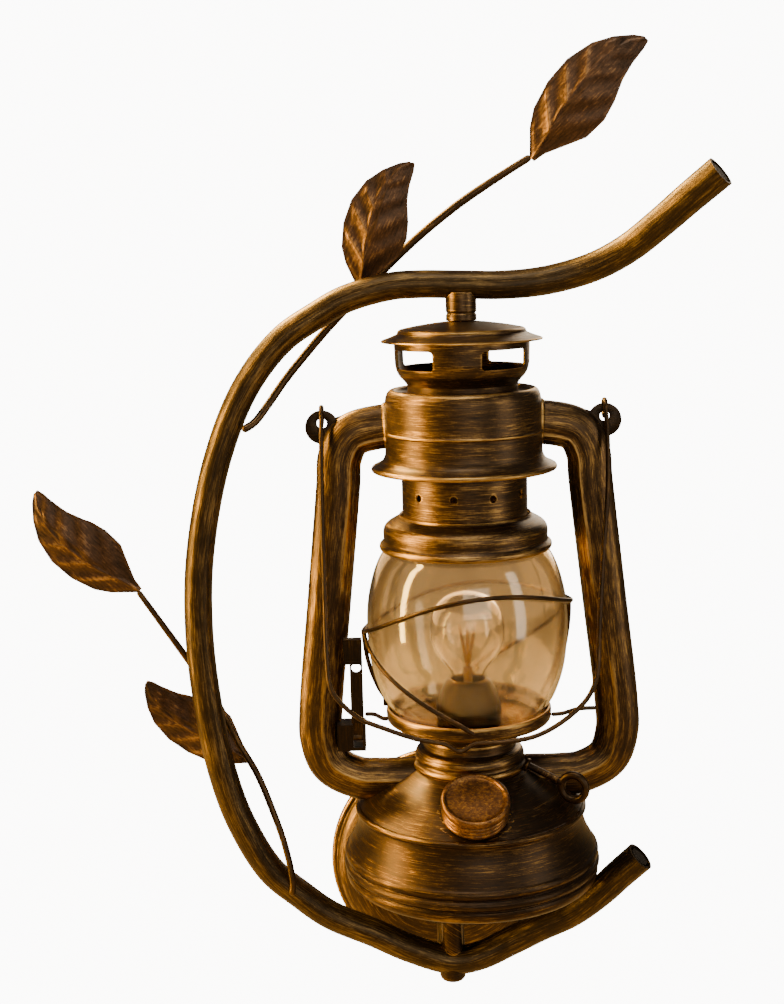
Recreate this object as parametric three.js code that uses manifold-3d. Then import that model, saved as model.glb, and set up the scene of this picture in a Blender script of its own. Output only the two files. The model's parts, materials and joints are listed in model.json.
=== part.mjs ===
// Wall lamp made as a small storm lantern that hangs in a bent branch of steel tube.
// Millimetres, +Z up, +X to the right, +Y into the wall. The origin is the middle of the
// mounting strap's back face, on the wall.
import * as THREE from 'three';
import { mergeVertices } from 'three/addons/utils/BufferGeometryUtils.js';
import Module from 'manifold-3d';

const wasm = await Module();
wasm.setup();

// Clearances
const seatGap = 0.3;          // between pieces that bear on each other
const runningGap = 0.5;       // between pieces that slide or turn
const cutOverrun = 2;         // how far a cutter runs past the wall it cuts
const sheet = 0.9;            // wall of the pressed sheet parts

// Facets round a turned piece
const largeSides = 18;
const smallSides = 12;
const wireSides = 6;

// Wall plate and arm
const plateRadius = 60;
const plateDepth = 14;
const strapLength = 92;
const strapWidth = 18;
const strapThickness = 2;
const strapScrewSpacing = 76;
const strapScrewRadius = 1.9;
const wallScrewSpacing = 38;
const wallHoleRadius = 3.2;
const plateNutRadius = 4.5;
const plateNutHeight = 5;
const terminalWidth = 22;
const terminalHeight = 12;
const terminalDepth = 8;
const armRadius = 6.7;
const armBore = 5.4;
const armDrop = 20.3;         // branch middle below the wall plate's middle
const wallClearance = 6;      // wall plate's face to the tank

// Branch
const branchRadius = 6.7;
const branchBore = 5.5;
const branchReach = 114;      // branch's belly left of the wall plate's middle
const branchForward = 26;     // how far its upper tip comes forward
const tipPlugThickness = 1.6;
const upperTwigRadius = 1.9;
const lowerTwigRadius = 1.6;
const leafThickness = 1.5;

// Lantern: heights run up from the tank's foot
const lampOffset = 10;        // lantern's axis right of the wall plate's middle
const tankRadius = 60.2;
const tankHeight = 36.4;
const domeHeight = 18.6;
const neckRadius = 26.4;
const neckHeight = 14.6;
const dishRadius = 38.3;
const dishHeight = 14.2;
const globeRadius = 46.2;
const globeHeight = 85.6;
const globeWall = 1.3;
const globeSeatHeight = 7.6;  // globe's lower edge above the dish's underside
const globeLap = 4.6;         // how far the globe stands up inside its cap
const bellRadius = 39.5;
const bellHeight = 16.3;
const collarRadius = 29;
const collarHeight = 33.5;
const collarHoleRadius = 1.8;
const collarHoleCount = 10;
const hoodRadius = 35.6;
const hoodHeight = 36.9;
const hoodLift = 20.1;        // hood's brim above the bell's crown
const ventRadius = 30.6;
const ventHeight = 28;
const ventSunk = 4.8;         // vent ring's spigot below the hood's crown
const windowHeight = 8.5;
const windowWidth = 25;
const windowCount = 4;
const capRadius = 36.4;
const capHeight = 8.4;
const capDrop = 1.65;         // cap's rim below the vent ring's top
const postRadius = 6.9;
const hangerHeight = 9.2;     // bare post between cap and branch
const basePostHeight = 36.6;  // bare post between branch and tank
const basePostOffset = -10;   // base post left of the lantern's axis
const saddleShare = 0.6;      // how far the posts' ends clasp the branch, of its radius
const boltRadius = 3;
const boltHeadRadius = 4.5;
const boltHeadHeight = 5.2;
const nutAcross = 10;
const nutHeight = 4;

// Burner, lamp holder and bulb
const burnerFootRadius = 14.2;
const burnerHeight = 27;
const holderRadius = 9.8;
const holderHeight = 20;
const bulbRadius = 17.4;
const bulbHeight = 47;
const bulbWall = 0.7;
const bulbBaseRadius = 6.8;
const bulbBaseHeight = 17;

// Side tubes, ears and bail
const tubeHalfWidth = 10.1;
const tubeHalfDepth = 6.8;
const tubeWall = 0.9;
const tubeTopSpan = 56.9;     // tube's middle line at the top, from the axis
const tubeFootSpan = 69.4;    // and at the bottom
const tubeTopHeight = 215.3;
const tubeFootHeight = 48.9;
const earSpan = 64;           // ear's hole from the axis
const earHoleHeight = 216;
const earHoleRadius = 3.2;
const earRadius = 7.6;
const earThickness = 1.6;
const bailWire = 1.1;
const bailLength = 150.7;
const bailTilt = THREE.MathUtils.degToRad(15.6);
const bailEyeRadius = 3.65;
const bailEyeThickness = 0.75;
const bailEyeWidth = 2.8;

// Globe guard and lift
const guardWire = 1.05;
const guardHeight = 132.5;
const guardRise = 9.2;        // how much higher the hoop's high side stands
const guardHighTurn = THREE.MathUtils.degToRad(-48);
const guardBow = 5.5;         // how far its left and right sides sag
const leverWidth = 5.8;
const leverThickness = 2.2;
const leverLength = 36;
const leverTangWidth = 3.4;   // between the bracket's cheeks
const leverHeadWidth = 8.4;
const leverHeadHeight = 11.5;
const leverHeadDepth = 5;
const leverPinRadius = 1.3;
const leverPivotHeight = 13.5; // above the side tube's lower run
const bracketHeight = 12.4;
const bracketDepth = 11;
const bracketCheek = 1.3;
const bracketFloor = 1.6;
const guideWire = 1;
const guideRise = 2.6;        // how much higher the guide wires end than they start

// Filler and wick winder
const fillerCapRadius = 15.4;
const fillerCapHeight = 11.6;
const fillerTilt = THREE.MathUtils.degToRad(27);
const fillerReach = 40.3;     // filler's middle from the axis
const fillerNeckRadius = 11.5;
const fillerNeckHeight = 8.5;
const fillerSeat = 1.2;
const fillerRimWidth = 2;
const fillerCrownThickness = 2;
const fillerDish = 0.6;       // depth of the dished middle of the cap's crown
const winderTurn = THREE.MathUtils.degToRad(-25);
const winderDrop = THREE.MathUtils.degToRad(-20);
const winderWire = 1.6;
const winderLength = 16.5;
const winderLoopRadius = 5.85;
const winderLoopWire = 1.85;

// Places that follow from the sizes above
const branchFootZ = -armDrop;
const lampX = lampOffset;
const lampY = -(plateDepth + wallClearance + tankRadius);
const lampZ = branchFootZ + branchRadius + basePostHeight;
const domeTop = tankHeight + domeHeight;
const neckFoot = domeTop + seatGap;
const neckTop = neckFoot + neckHeight;
const dishFoot = neckTop + seatGap;
const globeFoot = dishFoot + globeSeatHeight;
const globeTop = globeFoot + globeHeight;
const bellFoot = globeTop - globeLap;
const bellTop = bellFoot + bellHeight;
const collarFoot = bellTop - sheet - runningGap;
const hoodFoot = bellTop + hoodLift;
const hoodTop = hoodFoot + hoodHeight;
const ventFoot = hoodTop - ventSunk;
const ventTop = ventFoot + ventHeight;
const capFoot = ventTop - capDrop;
const capTop = capFoot + capHeight;
const postTop = capTop + seatGap + hangerHeight;
const branchTopZ = lampZ + postTop + branchRadius;
const basePostX = lampX + basePostOffset;

// Materials
const bronze = material('#4a3317', 0.48, 0.85);
const goldBronze = material('#8a6228', 0.42, 0.9);
const darkBronze = material('#2a1d10', 0.55, 0.8);
const clearGlass = material('#e6d3b0', 0.05, 0);
clearGlass.transparent = true;
clearGlass.opacity = 0.35;
const brassScrew = material('#c09a50', 0.35, 0.95);
const zincSteel = material('#9a9890', 0.45, 0.9);
const darkPlastic = material('#1b1a18', 0.5, 0);
const filamentYellow = material('#d9a441', 0.5, 0);

function material(color, roughness, metalness) {
  return new THREE.MeshStandardMaterial({ color, roughness, metalness });
}

// Vertices nearer than this share of the seat gap are one.
const weldShare = 0.001;

// Joins shared vertices, drops empty triangles and turns the faces outwards.
function closed(geometry) {
  const bare = geometry.clone();
  bare.deleteAttribute('normal');
  bare.deleteAttribute('uv');
  const merged = mergeVertices(bare, seatGap * weldShare);
  const source = merged.index.array;
  const kept = [];
  for (let i = 0; i < source.length; i += 3) {
    const [a, b, c] = [source[i], source[i + 1], source[i + 2]];
    if (a !== b && b !== c && c !== a) kept.push(a, b, c);
  }
  const place = merged.attributes.position;
  const [p, q, r] = [new THREE.Vector3(), new THREE.Vector3(), new THREE.Vector3()];
  let volume = 0;
  for (let i = 0; i < kept.length; i += 3) {
    p.fromBufferAttribute(place, kept[i]);
    q.fromBufferAttribute(place, kept[i + 1]);
    r.fromBufferAttribute(place, kept[i + 2]);
    volume += p.dot(q.cross(r));
  }
  if (volume < 0) kept.reverse();
  merged.setIndex(kept);
  return merged;
}

function solid(geometry) {
  const ready = closed(geometry);
  return new wasm.Manifold(new wasm.Mesh({
    numProp: 3,
    vertProperties: new Float32Array(ready.attributes.position.array),
    triVerts: new Uint32Array(ready.index.array),
  }));
}

function geometryOf(manifold) {
  const mesh = manifold.getMesh();
  const geometry = new THREE.BufferGeometry();
  geometry.setAttribute('position', new THREE.BufferAttribute(mesh.vertProperties, 3));
  geometry.setIndex(new THREE.BufferAttribute(mesh.triVerts, 1));
  return geometry;
}

function cut(geometry, ...cutters) {
  let rest = solid(geometry);
  for (const cutter of cutters) rest = rest.subtract(solid(cutter));
  return geometryOf(rest);
}

function join(...pieces) {
  let whole = solid(pieces[0]);
  for (const piece of pieces.slice(1)) whole = whole.add(solid(piece));
  return geometryOf(whole);
}

// Turns an outline of [radius, height] points round the Z axis.
function turned(outline, sides = largeSides) {
  const points = outline.map(([r, z]) => new THREE.Vector2(Math.max(r, 0), z));
  const [first, last] = [points[0], points[points.length - 1]];
  if (first.x > 0 || last.x > 0) points.push(first.clone());
  return new THREE.LatheGeometry(points, sides).rotateX(Math.PI / 2);
}

// Longest mitre at an outline's corner, as a share of the wall.
const mitreLimitShare = 1.4;

// Gives an open outline a wall on its left as it is travelled.
function walled(outline, wall = sheet) {
  const last = outline.length - 1;
  const inset = outline.map((point, i) => {
    const arriving = direction(outline[Math.max(i - 1, 0)], outline[Math.max(i, 1)]);
    const leaving = direction(outline[Math.min(i, last - 1)], outline[Math.min(i + 1, last)]);
    const normal = [-(arriving[1] + leaving[1]), arriving[0] + leaving[0]];
    const size = Math.hypot(...normal);
    const reach = wall * Math.min(2 / size, mitreLimitShare) / size;
    return [point[0] + normal[0] * reach, point[1] + normal[1] * reach];
  });
  return [...outline, ...inset.reverse()];
}

// Unit direction from one outline point to another.
function direction(from, to) {
  const [across, up] = [to[0] - from[0], to[1] - from[1]];
  const size = Math.hypot(across, up);
  return [across / size, up / size];
}

// Reads a table of [place, value] shares at a place between its ends.
function shareAt(shares, place) {
  const i = Math.max(1, shares.findIndex(([end]) => end >= place));
  const [[from, low], [to, high]] = [shares[i - 1], shares[i]];
  return low + (high - low) * (place - from) / (to - from);
}

// Scales shares to sizes and lifts them to a height.
function outlineOf(shares, radius, height, foot = 0) {
  return shares.map(([r, z]) => [r * radius, foot + z * height]);
}

function cylinder(radius, height, foot = 0, sides = smallSides) {
  const drum = new THREE.CylinderGeometry(radius, radius, height, sides).rotateX(Math.PI / 2);
  return drum.translate(0, 0, foot + height / 2);
}

function block(width, depth, height) {
  return new THREE.BoxGeometry(width, depth, height);
}

function ellipse(halfWidth, halfDepth, sides) {
  const corners = [];
  for (let i = 0; i < sides; i++) {
    const turn = 2 * Math.PI * i / sides;
    corners.push(new THREE.Vector2(halfWidth * Math.cos(turn), halfDepth * Math.sin(turn)));
  }
  return corners;
}

// Sweeps a section along a curve; a bore leaves the ends open.
function swept(curve, section, steps, bore) {
  const shape = new THREE.Shape(section);
  if (bore) shape.holes.push(new THREE.Path([...bore].reverse()));
  return new THREE.ExtrudeGeometry(shape, { steps, extrudePath: curve });
}

function wire(points, radius, steps, sides = wireSides) {
  return swept(curveThrough(points), ellipse(radius, radius, sides), steps);
}

function curveThrough(points) {
  return new THREE.CatmullRomCurve3(points.map((p) => new THREE.Vector3(...p)), false, 'centripetal');
}

// A curve in the XZ plane whose section keeps its depth along Y.
function flatCurve(points) {
  const curve = curveThrough(points);
  curve.computeFrenetFrames = (steps) => {
    const frames = { tangents: [], normals: [], binormals: [] };
    const depth = new THREE.Vector3(0, 1, 0);
    for (let i = 0; i <= steps; i++) {
      const tangent = curve.getTangentAt(i / steps);
      frames.tangents.push(tangent);
      frames.normals.push(new THREE.Vector3().crossVectors(depth, tangent).normalize());
      frames.binormals.push(depth.clone());
    }
    return frames;
  };
  return curve;
}

const lampGroup = new THREE.Group();
lampGroup.position.set(lampX, lampY, lampZ);
const group = new THREE.Group();
group.add(lampGroup);

function add(name, geometry, finish, parent = group) {
  const mesh = new THREE.Mesh(closed(geometry), finish);
  mesh.name = name;
  parent.add(mesh);
  return mesh;
}

// Turns a piece whose axis is Z so that it points out of the wall along -Y.
function outFromWall(geometry) {
  return geometry.rotateX(Math.PI / 2);
}

// Wall plate: a dished rose with a stepped rim, and the strap that it screws to.
const plateOutlineShares = [
  [0.93, 0.02], [1, 0.02], [1, 0.24], [0.945, 0.34], [0.92, 0.54], [0.87, 0.8], [0.79, 0.97],
  [0.7, 1], [0.085, 1],
];

function makeWallPlate() {
  const outline = outlineOf(plateOutlineShares, plateRadius, plateDepth);
  const plate = outFromWall(turned(walled(outline)));
  const holes = [-1, 1].map((side) => {
    const hole = outFromWall(cylinder(strapScrewRadius + seatGap, plateDepth + cutOverrun));
    return hole.translate(side * strapScrewSpacing / 2, 0, 0);
  });
  return cut(plate, ...holes);
}

function makeStrap() {
  const strap = block(strapLength, strapThickness, strapWidth).translate(0, -strapThickness / 2, 0);
  const depth = strapThickness + 2 * cutOverrun;
  const holes = [-1, 1].flatMap((side) => {
    const wallHole = outFromWall(cylinder(wallHoleRadius, depth, -cutOverrun));
    const screwHole = outFromWall(cylinder(strapScrewRadius + runningGap, depth, -cutOverrun));
    wallHole.translate(side * wallScrewSpacing / 2, 0, 0);
    screwHole.translate(side * strapScrewSpacing / 2, 0, 0);
    return [wallHole, screwHole];
  });
  return cut(strap, ...holes);
}

function makeStrapScrew(side) {
  const headHeight = strapThickness;
  const shank = cylinder(strapScrewRadius, plateDepth + plateNutHeight - headHeight);
  const head = cylinder(strapScrewRadius * 2, headHeight, strapThickness + seatGap);
  const screw = outFromWall(join(shank.translate(0, 0, seatGap), head));
  return screw.translate(side * strapScrewSpacing / 2, 0, 0);
}

const domeNutShares = [
  [0.5, 0], [0.96, 0], [1, 0.17], [1, 0.63], [0.86, 0.77], [0.78, 1.09], [0.5, 1.34], [0, 1.4],
  [0, 1.15], [0.5, 1.12],
];

function makePlateNut(side) {
  const outline = outlineOf(domeNutShares, plateNutRadius, plateNutHeight, plateDepth + seatGap);
  return outFromWall(turned(outline, smallSides)).translate(side * strapScrewSpacing / 2, 0, 0);
}

add('wall_strap', makeStrap(), zincSteel);
add('wall_plate', makeWallPlate(), bronze);
for (const [name, side] of [['left', -1], ['right', 1]]) {
  add(`strap_screw_${name}`, makeStrapScrew(side), brassScrew);
  add(`plate_nut_${name}`, makePlateNut(side), goldBronze);
}
const terminal = block(terminalWidth, terminalDepth, terminalHeight);
const terminalZ = strapWidth / 2 + terminalHeight / 2 + runningGap;
const terminalY = -(plateDepth - sheet - seatGap - terminalDepth / 2);
add('terminal_block', terminal.translate(0, terminalY, terminalZ), darkPlastic);

// Branch: a bent tube that rises from under the tank, bellies out to the left and
// passes over the lantern. Shares are of the reach to the left, of the forward sweep
// and of the height from its foot to its crossing above the lantern.
const branchRise = branchTopZ - branchFootZ;
const crownShares = [
  [1.053, 1, 1.141], [0.949, 0.77, 1.109], [0.846, 0.52, 1.076], [0.74, 0.27, 1.045],
  [0.63, 0.1, 1.023], [0.516, 0, 1.0095], [0.39, 0, 1.001], [0.24, 0, 0.998],
];
const bellyShares = [
  [-0.071, 0, 1.002], [-0.188, 0, 1], [-0.366, 0, 0.984], [-0.484, 0, 0.962], [-0.621, 0, 0.93],
  [-0.77, 0, 0.865], [-0.896, 0, 0.763], [-0.982, 0, 0.626], [-1, 0, 0.51], [-0.975, 0, 0.393],
  [-0.931, 0, 0.301], [-0.866, 0, 0.2265], [-0.75, 0, 0.15], [-0.633, 0, 0.1115],
  [-0.51, 0, 0.0775], [-0.325, 0, 0.0465], [-0.18, 0, 0.021],
];
// Past the foot the shares across are of the tank's radius, from the base post.
const heelShares = [
  [0.218, 0, 0.006], [0.46, 0, 0.027], [0.7, 0.08, 0.0525], [0.945, 0.19, 0.078],
  [1.178, 0.35, 0.1175], [1.293, 0.42, 0.141], [1.46, 0.54, 0.174],
];

function branchPoint([across, forward, up]) {
  return [across * branchReach, lampY - forward * branchForward, branchFootZ + up * branchRise];
}

function branchPoints() {
  const heel = heelShares.map(([across, forward, up]) => {
    const [, y, z] = branchPoint([0, forward, up]);
    return [basePostX + across * tankRadius, y, z];
  });
  return [
    ...crownShares.map(branchPoint), [lampX, lampY, branchTopZ], ...bellyShares.map(branchPoint),
    [basePostX, lampY, branchFootZ], ...heel,
  ];
}

const branchSteps = 42;
const branchSides = 8;
const branchCurve = curveThrough(branchPoints());
const branchClear = ellipse(branchRadius + seatGap, branchRadius + seatGap, branchSides);
const branchKeepOut = swept(branchCurve, branchClear, branchSteps);

function makeBranch() {
  const outside = ellipse(branchRadius, branchRadius, branchSides);
  const inside = ellipse(branchBore, branchBore, branchSides);
  const tube = swept(branchCurve, outside, branchSteps, inside);
  const boltHole = cylinder(boltRadius + seatGap, 4 * branchRadius, -2 * branchRadius);
  return cut(tube, boltHole.translate(basePostX, lampY, branchFootZ));
}

function makeTipPlug(share) {
  const radius = (branchBore - seatGap) * Math.cos(Math.PI / branchSides);
  const plug = cylinder(radius, tipPlugThickness, -tipPlugThickness / 2, branchSides);
  const inward = share === 0 ? 1 : -1;
  const depth = (seatGap + tipPlugThickness / 2) / branchCurve.getLength();
  const place = branchCurve.getPointAt(share + inward * depth);
  const direction = branchCurve.getTangentAt(share);
  const turn = new THREE.Quaternion().setFromUnitVectors(new THREE.Vector3(0, 0, 1), direction);
  return plug.applyQuaternion(turn).translate(place.x, place.y, place.z);
}

add('branch_tube', makeBranch(), goldBronze);
add('branch_top_plug', makeTipPlug(0), darkBronze);
add('branch_bottom_plug', makeTipPlug(1), darkBronze);

// Arm: carries the branch's foot from the wall plate's middle. Shares are of its reach
// out from the wall and of its drop.
const armShares = [[0, 0], [0.2, 0], [0.5, 0.45], [0.8, 1], [1, 1]];

function makeArm() {
  const start = -(plateDepth + seatGap);
  const reach = lampY + branchRadius * saddleShare - start;
  const points = armShares.map(([out, drop]) => [0, start + reach * out, branchFootZ * drop]);
  const outside = ellipse(armRadius, armRadius, branchSides);
  const inside = ellipse(armBore, armBore, branchSides);
  const postFoot = branchFootZ + branchRadius * saddleShare - seatGap;
  const postKeepOut = cylinder(postRadius + seatGap, armRadius, postFoot);
  return cut(swept(curveThrough(points), outside, branchSides, inside), branchKeepOut,
    postKeepOut.translate(basePostX, lampY, 0));
}

add('wall_arm', makeArm(), bronze);

// Twigs: wires welded to the branch that pass behind it and carry the leaves.
function twigPoint(radius) {
  return ([across, behind, up]) => {
    const [x, , z] = branchPoint([across, 0, up]);
    return [x, lampY + behind * (branchRadius + radius + 2 * seatGap), z];
  };
}

const upperTwigShares = [
  [-0.785, -0.66, 0.807], [-0.74, -0.25, 0.816], [-0.686, 0.3, 0.839], [-0.617, 0.75, 0.872],
  [-0.535, 0.97, 0.906], [-0.435, 1.04, 0.945], [-0.3, 1.06, 0.992], [-0.157, 1.03, 1.04],
  [-0.053, 0.97, 1.072], [0.089, 0.92, 1.11], [0.231, 0.87, 1.142], [0.375, 0.82, 1.172],
];
const lowerTwigShares = [
  [-0.66, -1, 0.121], [-0.655, -0.95, 0.142], [-0.684, -0.55, 0.194], [-0.735, 0, 0.245],
  [-0.795, 0.5, 0.295], [-0.864, 0.95, 0.335], [-0.957, 1.04, 0.404], [-1.076, 1, 0.474],
  [-1.16, 0.95, 0.521], [-1.252, 0.9, 0.572],
];
const twigSteps = 22;

function makeTwig(shares, radius) {
  return wire(shares.map(twigPoint(radius)), radius, twigSteps);
}

function twigKeepOut(shares, radius) {
  const points = shares.map(twigPoint(radius));
  const ends = [points[0], points[points.length - 1]].map((end) => {
    return new THREE.SphereGeometry(radius + 2 * seatGap, smallSides, wireSides).translate(...end);
  });
  return join(wire(points, radius + seatGap, twigSteps), ...ends);
}

const upperTwig = makeTwig(upperTwigShares, upperTwigRadius);
const lowerTwig = makeTwig(lowerTwigShares, lowerTwigRadius);
const upperTwigKeepOut = twigKeepOut(upperTwigShares, upperTwigRadius);
const lowerTwigKeepOut = twigKeepOut(lowerTwigShares, lowerTwigRadius);
add('upper_twig', cut(upperTwig, branchKeepOut), goldBronze);
add('lower_twig', cut(lowerTwig, branchKeepOut), goldBronze);

// Leaves: all one stamping with a blunt curled tip. Its left and right edges are shares
// of its length, as [along, across] from stalk to tip.
const leafLeftShares = [
  [0, 0.02], [0.06, 0.08], [0.13, 0.15], [0.23, 0.215], [0.4, 0.265], [0.58, 0.275],
  [0.75, 0.235], [0.87, 0.165], [0.96, 0.085], [1, 0.03],
];
const leafRightShares = [
  [0, -0.02], [0.08, -0.035], [0.2, -0.09], [0.33, -0.15], [0.48, -0.155], [0.6, -0.12],
  [0.73, -0.062], [0.84, -0.035], [0.95, -0.023], [1, -0.01],
];
const leafFoldShare = 0.16;   // how far the edges lie back, of the half width
const leafEndShare = 0.35;    // thickness at stalk and tip

// Where each leaf's stalk and tip are, in the branch's shares, how full it is and how
// far it bows forward.
const leafPlaceShares = {
  leaf_upper_outer: { stalk: [0.377, 0.7, 1.168], tip: [0.814, -0.3, 1.32], full: 1, bow: 0.08 },
  leaf_upper_inner: { stalk: [-0.308, 0.92, 0.998], tip: [-0.085, 0, 1.166], full: 1.14, bow: 0.07 },
  leaf_lower_outer: { stalk: [-1.243, 0.85, 0.573], tip: [-1.624, 0.1, 0.726], full: 1, bow: 0.08 },
  leaf_lower_inner: { stalk: [-0.822, 0.9, 0.31], tip: [-1.229, 0.55, 0.438], full: 1.05, bow: -0.06 },
};
const leafRows = 10;
const leafSides = 8;

function makeLeaf({ stalk, tip, full, bow }) {
  const from = new THREE.Vector3(...twigPoint(upperTwigRadius)(stalk));
  const to = new THREE.Vector3(...twigPoint(upperTwigRadius)(tip));
  const along = to.clone().sub(from);
  const length = along.length();
  const left = new THREE.Vector3(-along.z, 0, along.x).normalize();
  const front = new THREE.Vector3().crossVectors(along, left).normalize();
  const geometry = new THREE.SphereGeometry(1, leafSides, leafRows);
  const place = geometry.attributes.position;
  const p = new THREE.Vector3();
  for (let i = 0; i < place.count; i++) {
    p.fromBufferAttribute(place, i);
    const share = Math.min((1 + p.y) / 2, 1);
    const round = Math.sqrt(Math.max(1 - p.y * p.y, 0));
    const [side, face] = round > 0 ? [-p.x / round, p.z / round] : [0, 0];
    const leftEdge = shareAt(leafLeftShares, share) * length * full;
    const rightEdge = shareAt(leafRightShares, share) * length * full;
    const halfWidth = (leftEdge - rightEdge) / 2;
    const arch = Math.sin(Math.PI * share);
    const body = Math.min(1, leafEndShare + 2 * arch) * Math.sqrt(round) * leafThickness / 2;
    const lift = length * bow * arch - halfWidth * Math.abs(side) * leafFoldShare - face * body;
    const sway = (leftEdge + rightEdge) / 2 + halfWidth * side;
    p.copy(from).addScaledVector(along, share).addScaledVector(left, sway).addScaledVector(front, lift);
    place.setXYZ(i, p.x, p.y, p.z);
  }
  return geometry;
}

for (const [name, leaf] of Object.entries(leafPlaceShares)) {
  add(name, cut(makeLeaf(leaf), upperTwigKeepOut, lowerTwigKeepOut, branchKeepOut), bronze);
}

// Tank: pressed shell with rolled rings, closed below by a pan.
const tankSideShares = [
  [0.927, 0.016], [0.985, 0.08], [0.978, 0.181], [1, 0.25], [0.988, 0.31], [0.995, 0.4],
  [0.947, 0.536], [0.895, 0.7], [0.87, 0.88], [0.895, 0.94], [0.895, 0.98], [0.874, 1],
];
const shoulderShare = 0.874;
const panShares = [[0.83, 1], [0.872, 0], [0.917, 0], [0.917, 0.62], [0.882, 0.62], [0.842, 1.62]];
const panTopShare = 1.62;
const panRise = 1.6;
const neckFlange = 1.2;       // how far the burner neck laps the dome's edge
const domeSeatRadius = neckRadius - neckFlange;
const domeShares = [0.25, 0.6, 1];
const domeBellyShare = 0.03;

function tankOutline() {
  const side = outlineOf(tankSideShares, tankRadius, tankHeight);
  const shoulder = shoulderShare * tankRadius;
  const dome = domeShares.map((share) => {
    const belly = Math.sin(Math.PI * share) * domeHeight * domeBellyShare;
    return [shoulder + (domeSeatRadius - shoulder) * share, tankHeight + domeHeight * share + belly];
  });
  return [...side, ...dome];
}

// Places a piece made round Z on the filler's tilted axis, its foot on the dome.
const fillerFootHeight = tankHeight + domeHeight
  * (shoulderShare * tankRadius - fillerReach) / (shoulderShare * tankRadius - domeSeatRadius);

function onFiller(geometry) {
  return geometry.rotateX(fillerTilt).translate(0, -fillerReach, fillerFootHeight);
}

function makeTank() {
  const outline = tankOutline();
  const full = solid(turned([[0, outline[0][1]], ...outline, [0, outline[outline.length - 1][1]]]));
  const pocketRadius = fillerCapRadius + runningGap;
  const seat = cylinder(pocketRadius + fillerSeat, fillerCapHeight, -fillerSeat, largeSides);
  const pocket = cylinder(pocketRadius, fillerCapHeight + cutOverrun, 0, largeSides);
  const neckHole = cylinder(fillerNeckRadius + seatGap, fillerCapHeight, -fillerCapHeight / 2);
  const shell = solid(turned(walled(outline))).add(solid(onFiller(seat)).intersect(full));
  return geometryOf(shell.subtract(solid(onFiller(pocket))).subtract(solid(onFiller(neckHole))));
}

function makePan() {
  const rim = outlineOf(panShares, tankRadius, panRise);
  const pan = turned([[0, panRise], ...rim, [0, panRise * panTopShare]]);
  return cut(pan, cylinder(boltRadius + seatGap, 4 * panRise, -panRise).translate(basePostOffset, 0, 0));
}

add('tank_shell', makeTank(), bronze, lampGroup);
add('tank_pan', makePan(), darkBronze, lampGroup);

// Base post, and the bolt that holds it from under the branch to a nut in the tank.
function makeBasePost() {
  const foot = -(basePostHeight + branchRadius * saddleShare);
  const height = panRise - seatGap - foot;
  const post = cylinder(postRadius, height, foot).translate(basePostOffset, 0, 0);
  const bore = cylinder(boltRadius + seatGap, height + 2 * cutOverrun, foot - cutOverrun);
  const keepOut = branchKeepOut.clone().translate(-lampX, -lampY, -lampZ);
  return cut(post, bore.translate(basePostOffset, 0, 0), keepOut);
}

const boltHeadShares = [[0, 1], [0.72, 1], [0.95, 0.8], [1, 0.5], [1, 0]];
const panTop = panRise * panTopShare;
const boltHeadTop = -(basePostHeight + 2 * branchRadius + seatGap);

function makeBaseBolt() {
  const outline = outlineOf([...boltHeadShares, [0, 0]], boltHeadRadius, -boltHeadHeight, boltHeadTop);
  const head = turned(outline, smallSides);
  const shankHeight = panTop + seatGap + nutHeight - boltHeadTop;
  const shank = cylinder(boltRadius, shankHeight + seatGap, boltHeadTop - seatGap);
  return join(head, shank).translate(basePostOffset, 0, 0);
}

function makeNut(foot, bore) {
  const body = cylinder(nutAcross / 2 / Math.cos(Math.PI / 6), nutHeight, foot, 6);
  return cut(body, cylinder(bore, nutHeight + 2 * cutOverrun, foot - cutOverrun));
}

add('base_post', makeBasePost(), bronze, lampGroup);
add('base_bolt', makeBaseBolt(), goldBronze, lampGroup);
const baseNut = makeNut(panTop + seatGap, boltRadius + seatGap);
add('base_nut', baseNut.translate(basePostOffset, 0, 0), zincSteel, lampGroup);

// Burner neck, cone, lamp holder and bulb.
const neckShares = [
  [0.89, -0.26], [0.89, 0], [1, 0.01], [1.01, 0.12], [0.965, 0.24], [0.93, 0.57], [0.815, 0.68],
  [0.81, 1], [0.36, 1],
];
const burnerShares = [[1, 0], [1, 0.14], [0.81, 0.36], [0.79, 0.8], [0.72, 0.94], [0.62, 1]];
const burnerFoot = neckTop + seatGap;
const holderFoot = burnerFoot + seatGap;
const holderCavity = bulbBaseRadius + runningGap;
const holderFloor = 2.6;
const bulbBaseFoot = holderFoot + holderFloor + seatGap;
const bulbFoot = bulbBaseFoot + bulbBaseHeight + seatGap;
const bulbShares = [
  [0.385, 0], [0.39, 0.08], [0.41, 0.175], [0.55, 0.25], [0.8, 0.355], [0.965, 0.48], [1, 0.61],
  [0.94, 0.76], [0.735, 0.89], [0.4, 0.97], [0, 1],
];

function makeHolder() {
  const [foot, top] = [holderFoot, holderFoot + holderHeight];
  const floor = foot + holderFloor;
  return turned([[0, foot], [holderRadius, foot], [holderRadius, top], [holderCavity, top],
    [holderCavity, floor], [0, floor]], smallSides);
}

// The screw base's three thread crests, as shares of its radius and height.
const bulbBaseShares = [
  [0, 0], [0.33, 0], [0.9, 0.1], [1, 0.24], [0.9, 0.39], [1, 0.54], [0.9, 0.69], [0.94, 1], [0, 1],
];

const stemRadius = 2.2;
const stickRadius = 0.7;
const stickLength = 22;
const stickLean = THREE.MathUtils.degToRad(10);

function makeFilament() {
  const stemFoot = bulbFoot + seatGap;
  const stem = cylinder(stemRadius, bulbHeight * 0.25, stemFoot, wireSides);
  const mast = cylinder(stickRadius, bulbHeight * 0.62, stemFoot, wireSides);
  const sticks = [0, 1, 2, 3].map((i) => {
    const stick = cylinder(stickRadius, stickLength, 0, wireSides).rotateX(-stickLean);
    return stick.rotateZ(i * Math.PI / 2).translate(0, 0, stemFoot + bulbHeight * 0.22);
  });
  return join(stem, mast, ...sticks);
}

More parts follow.
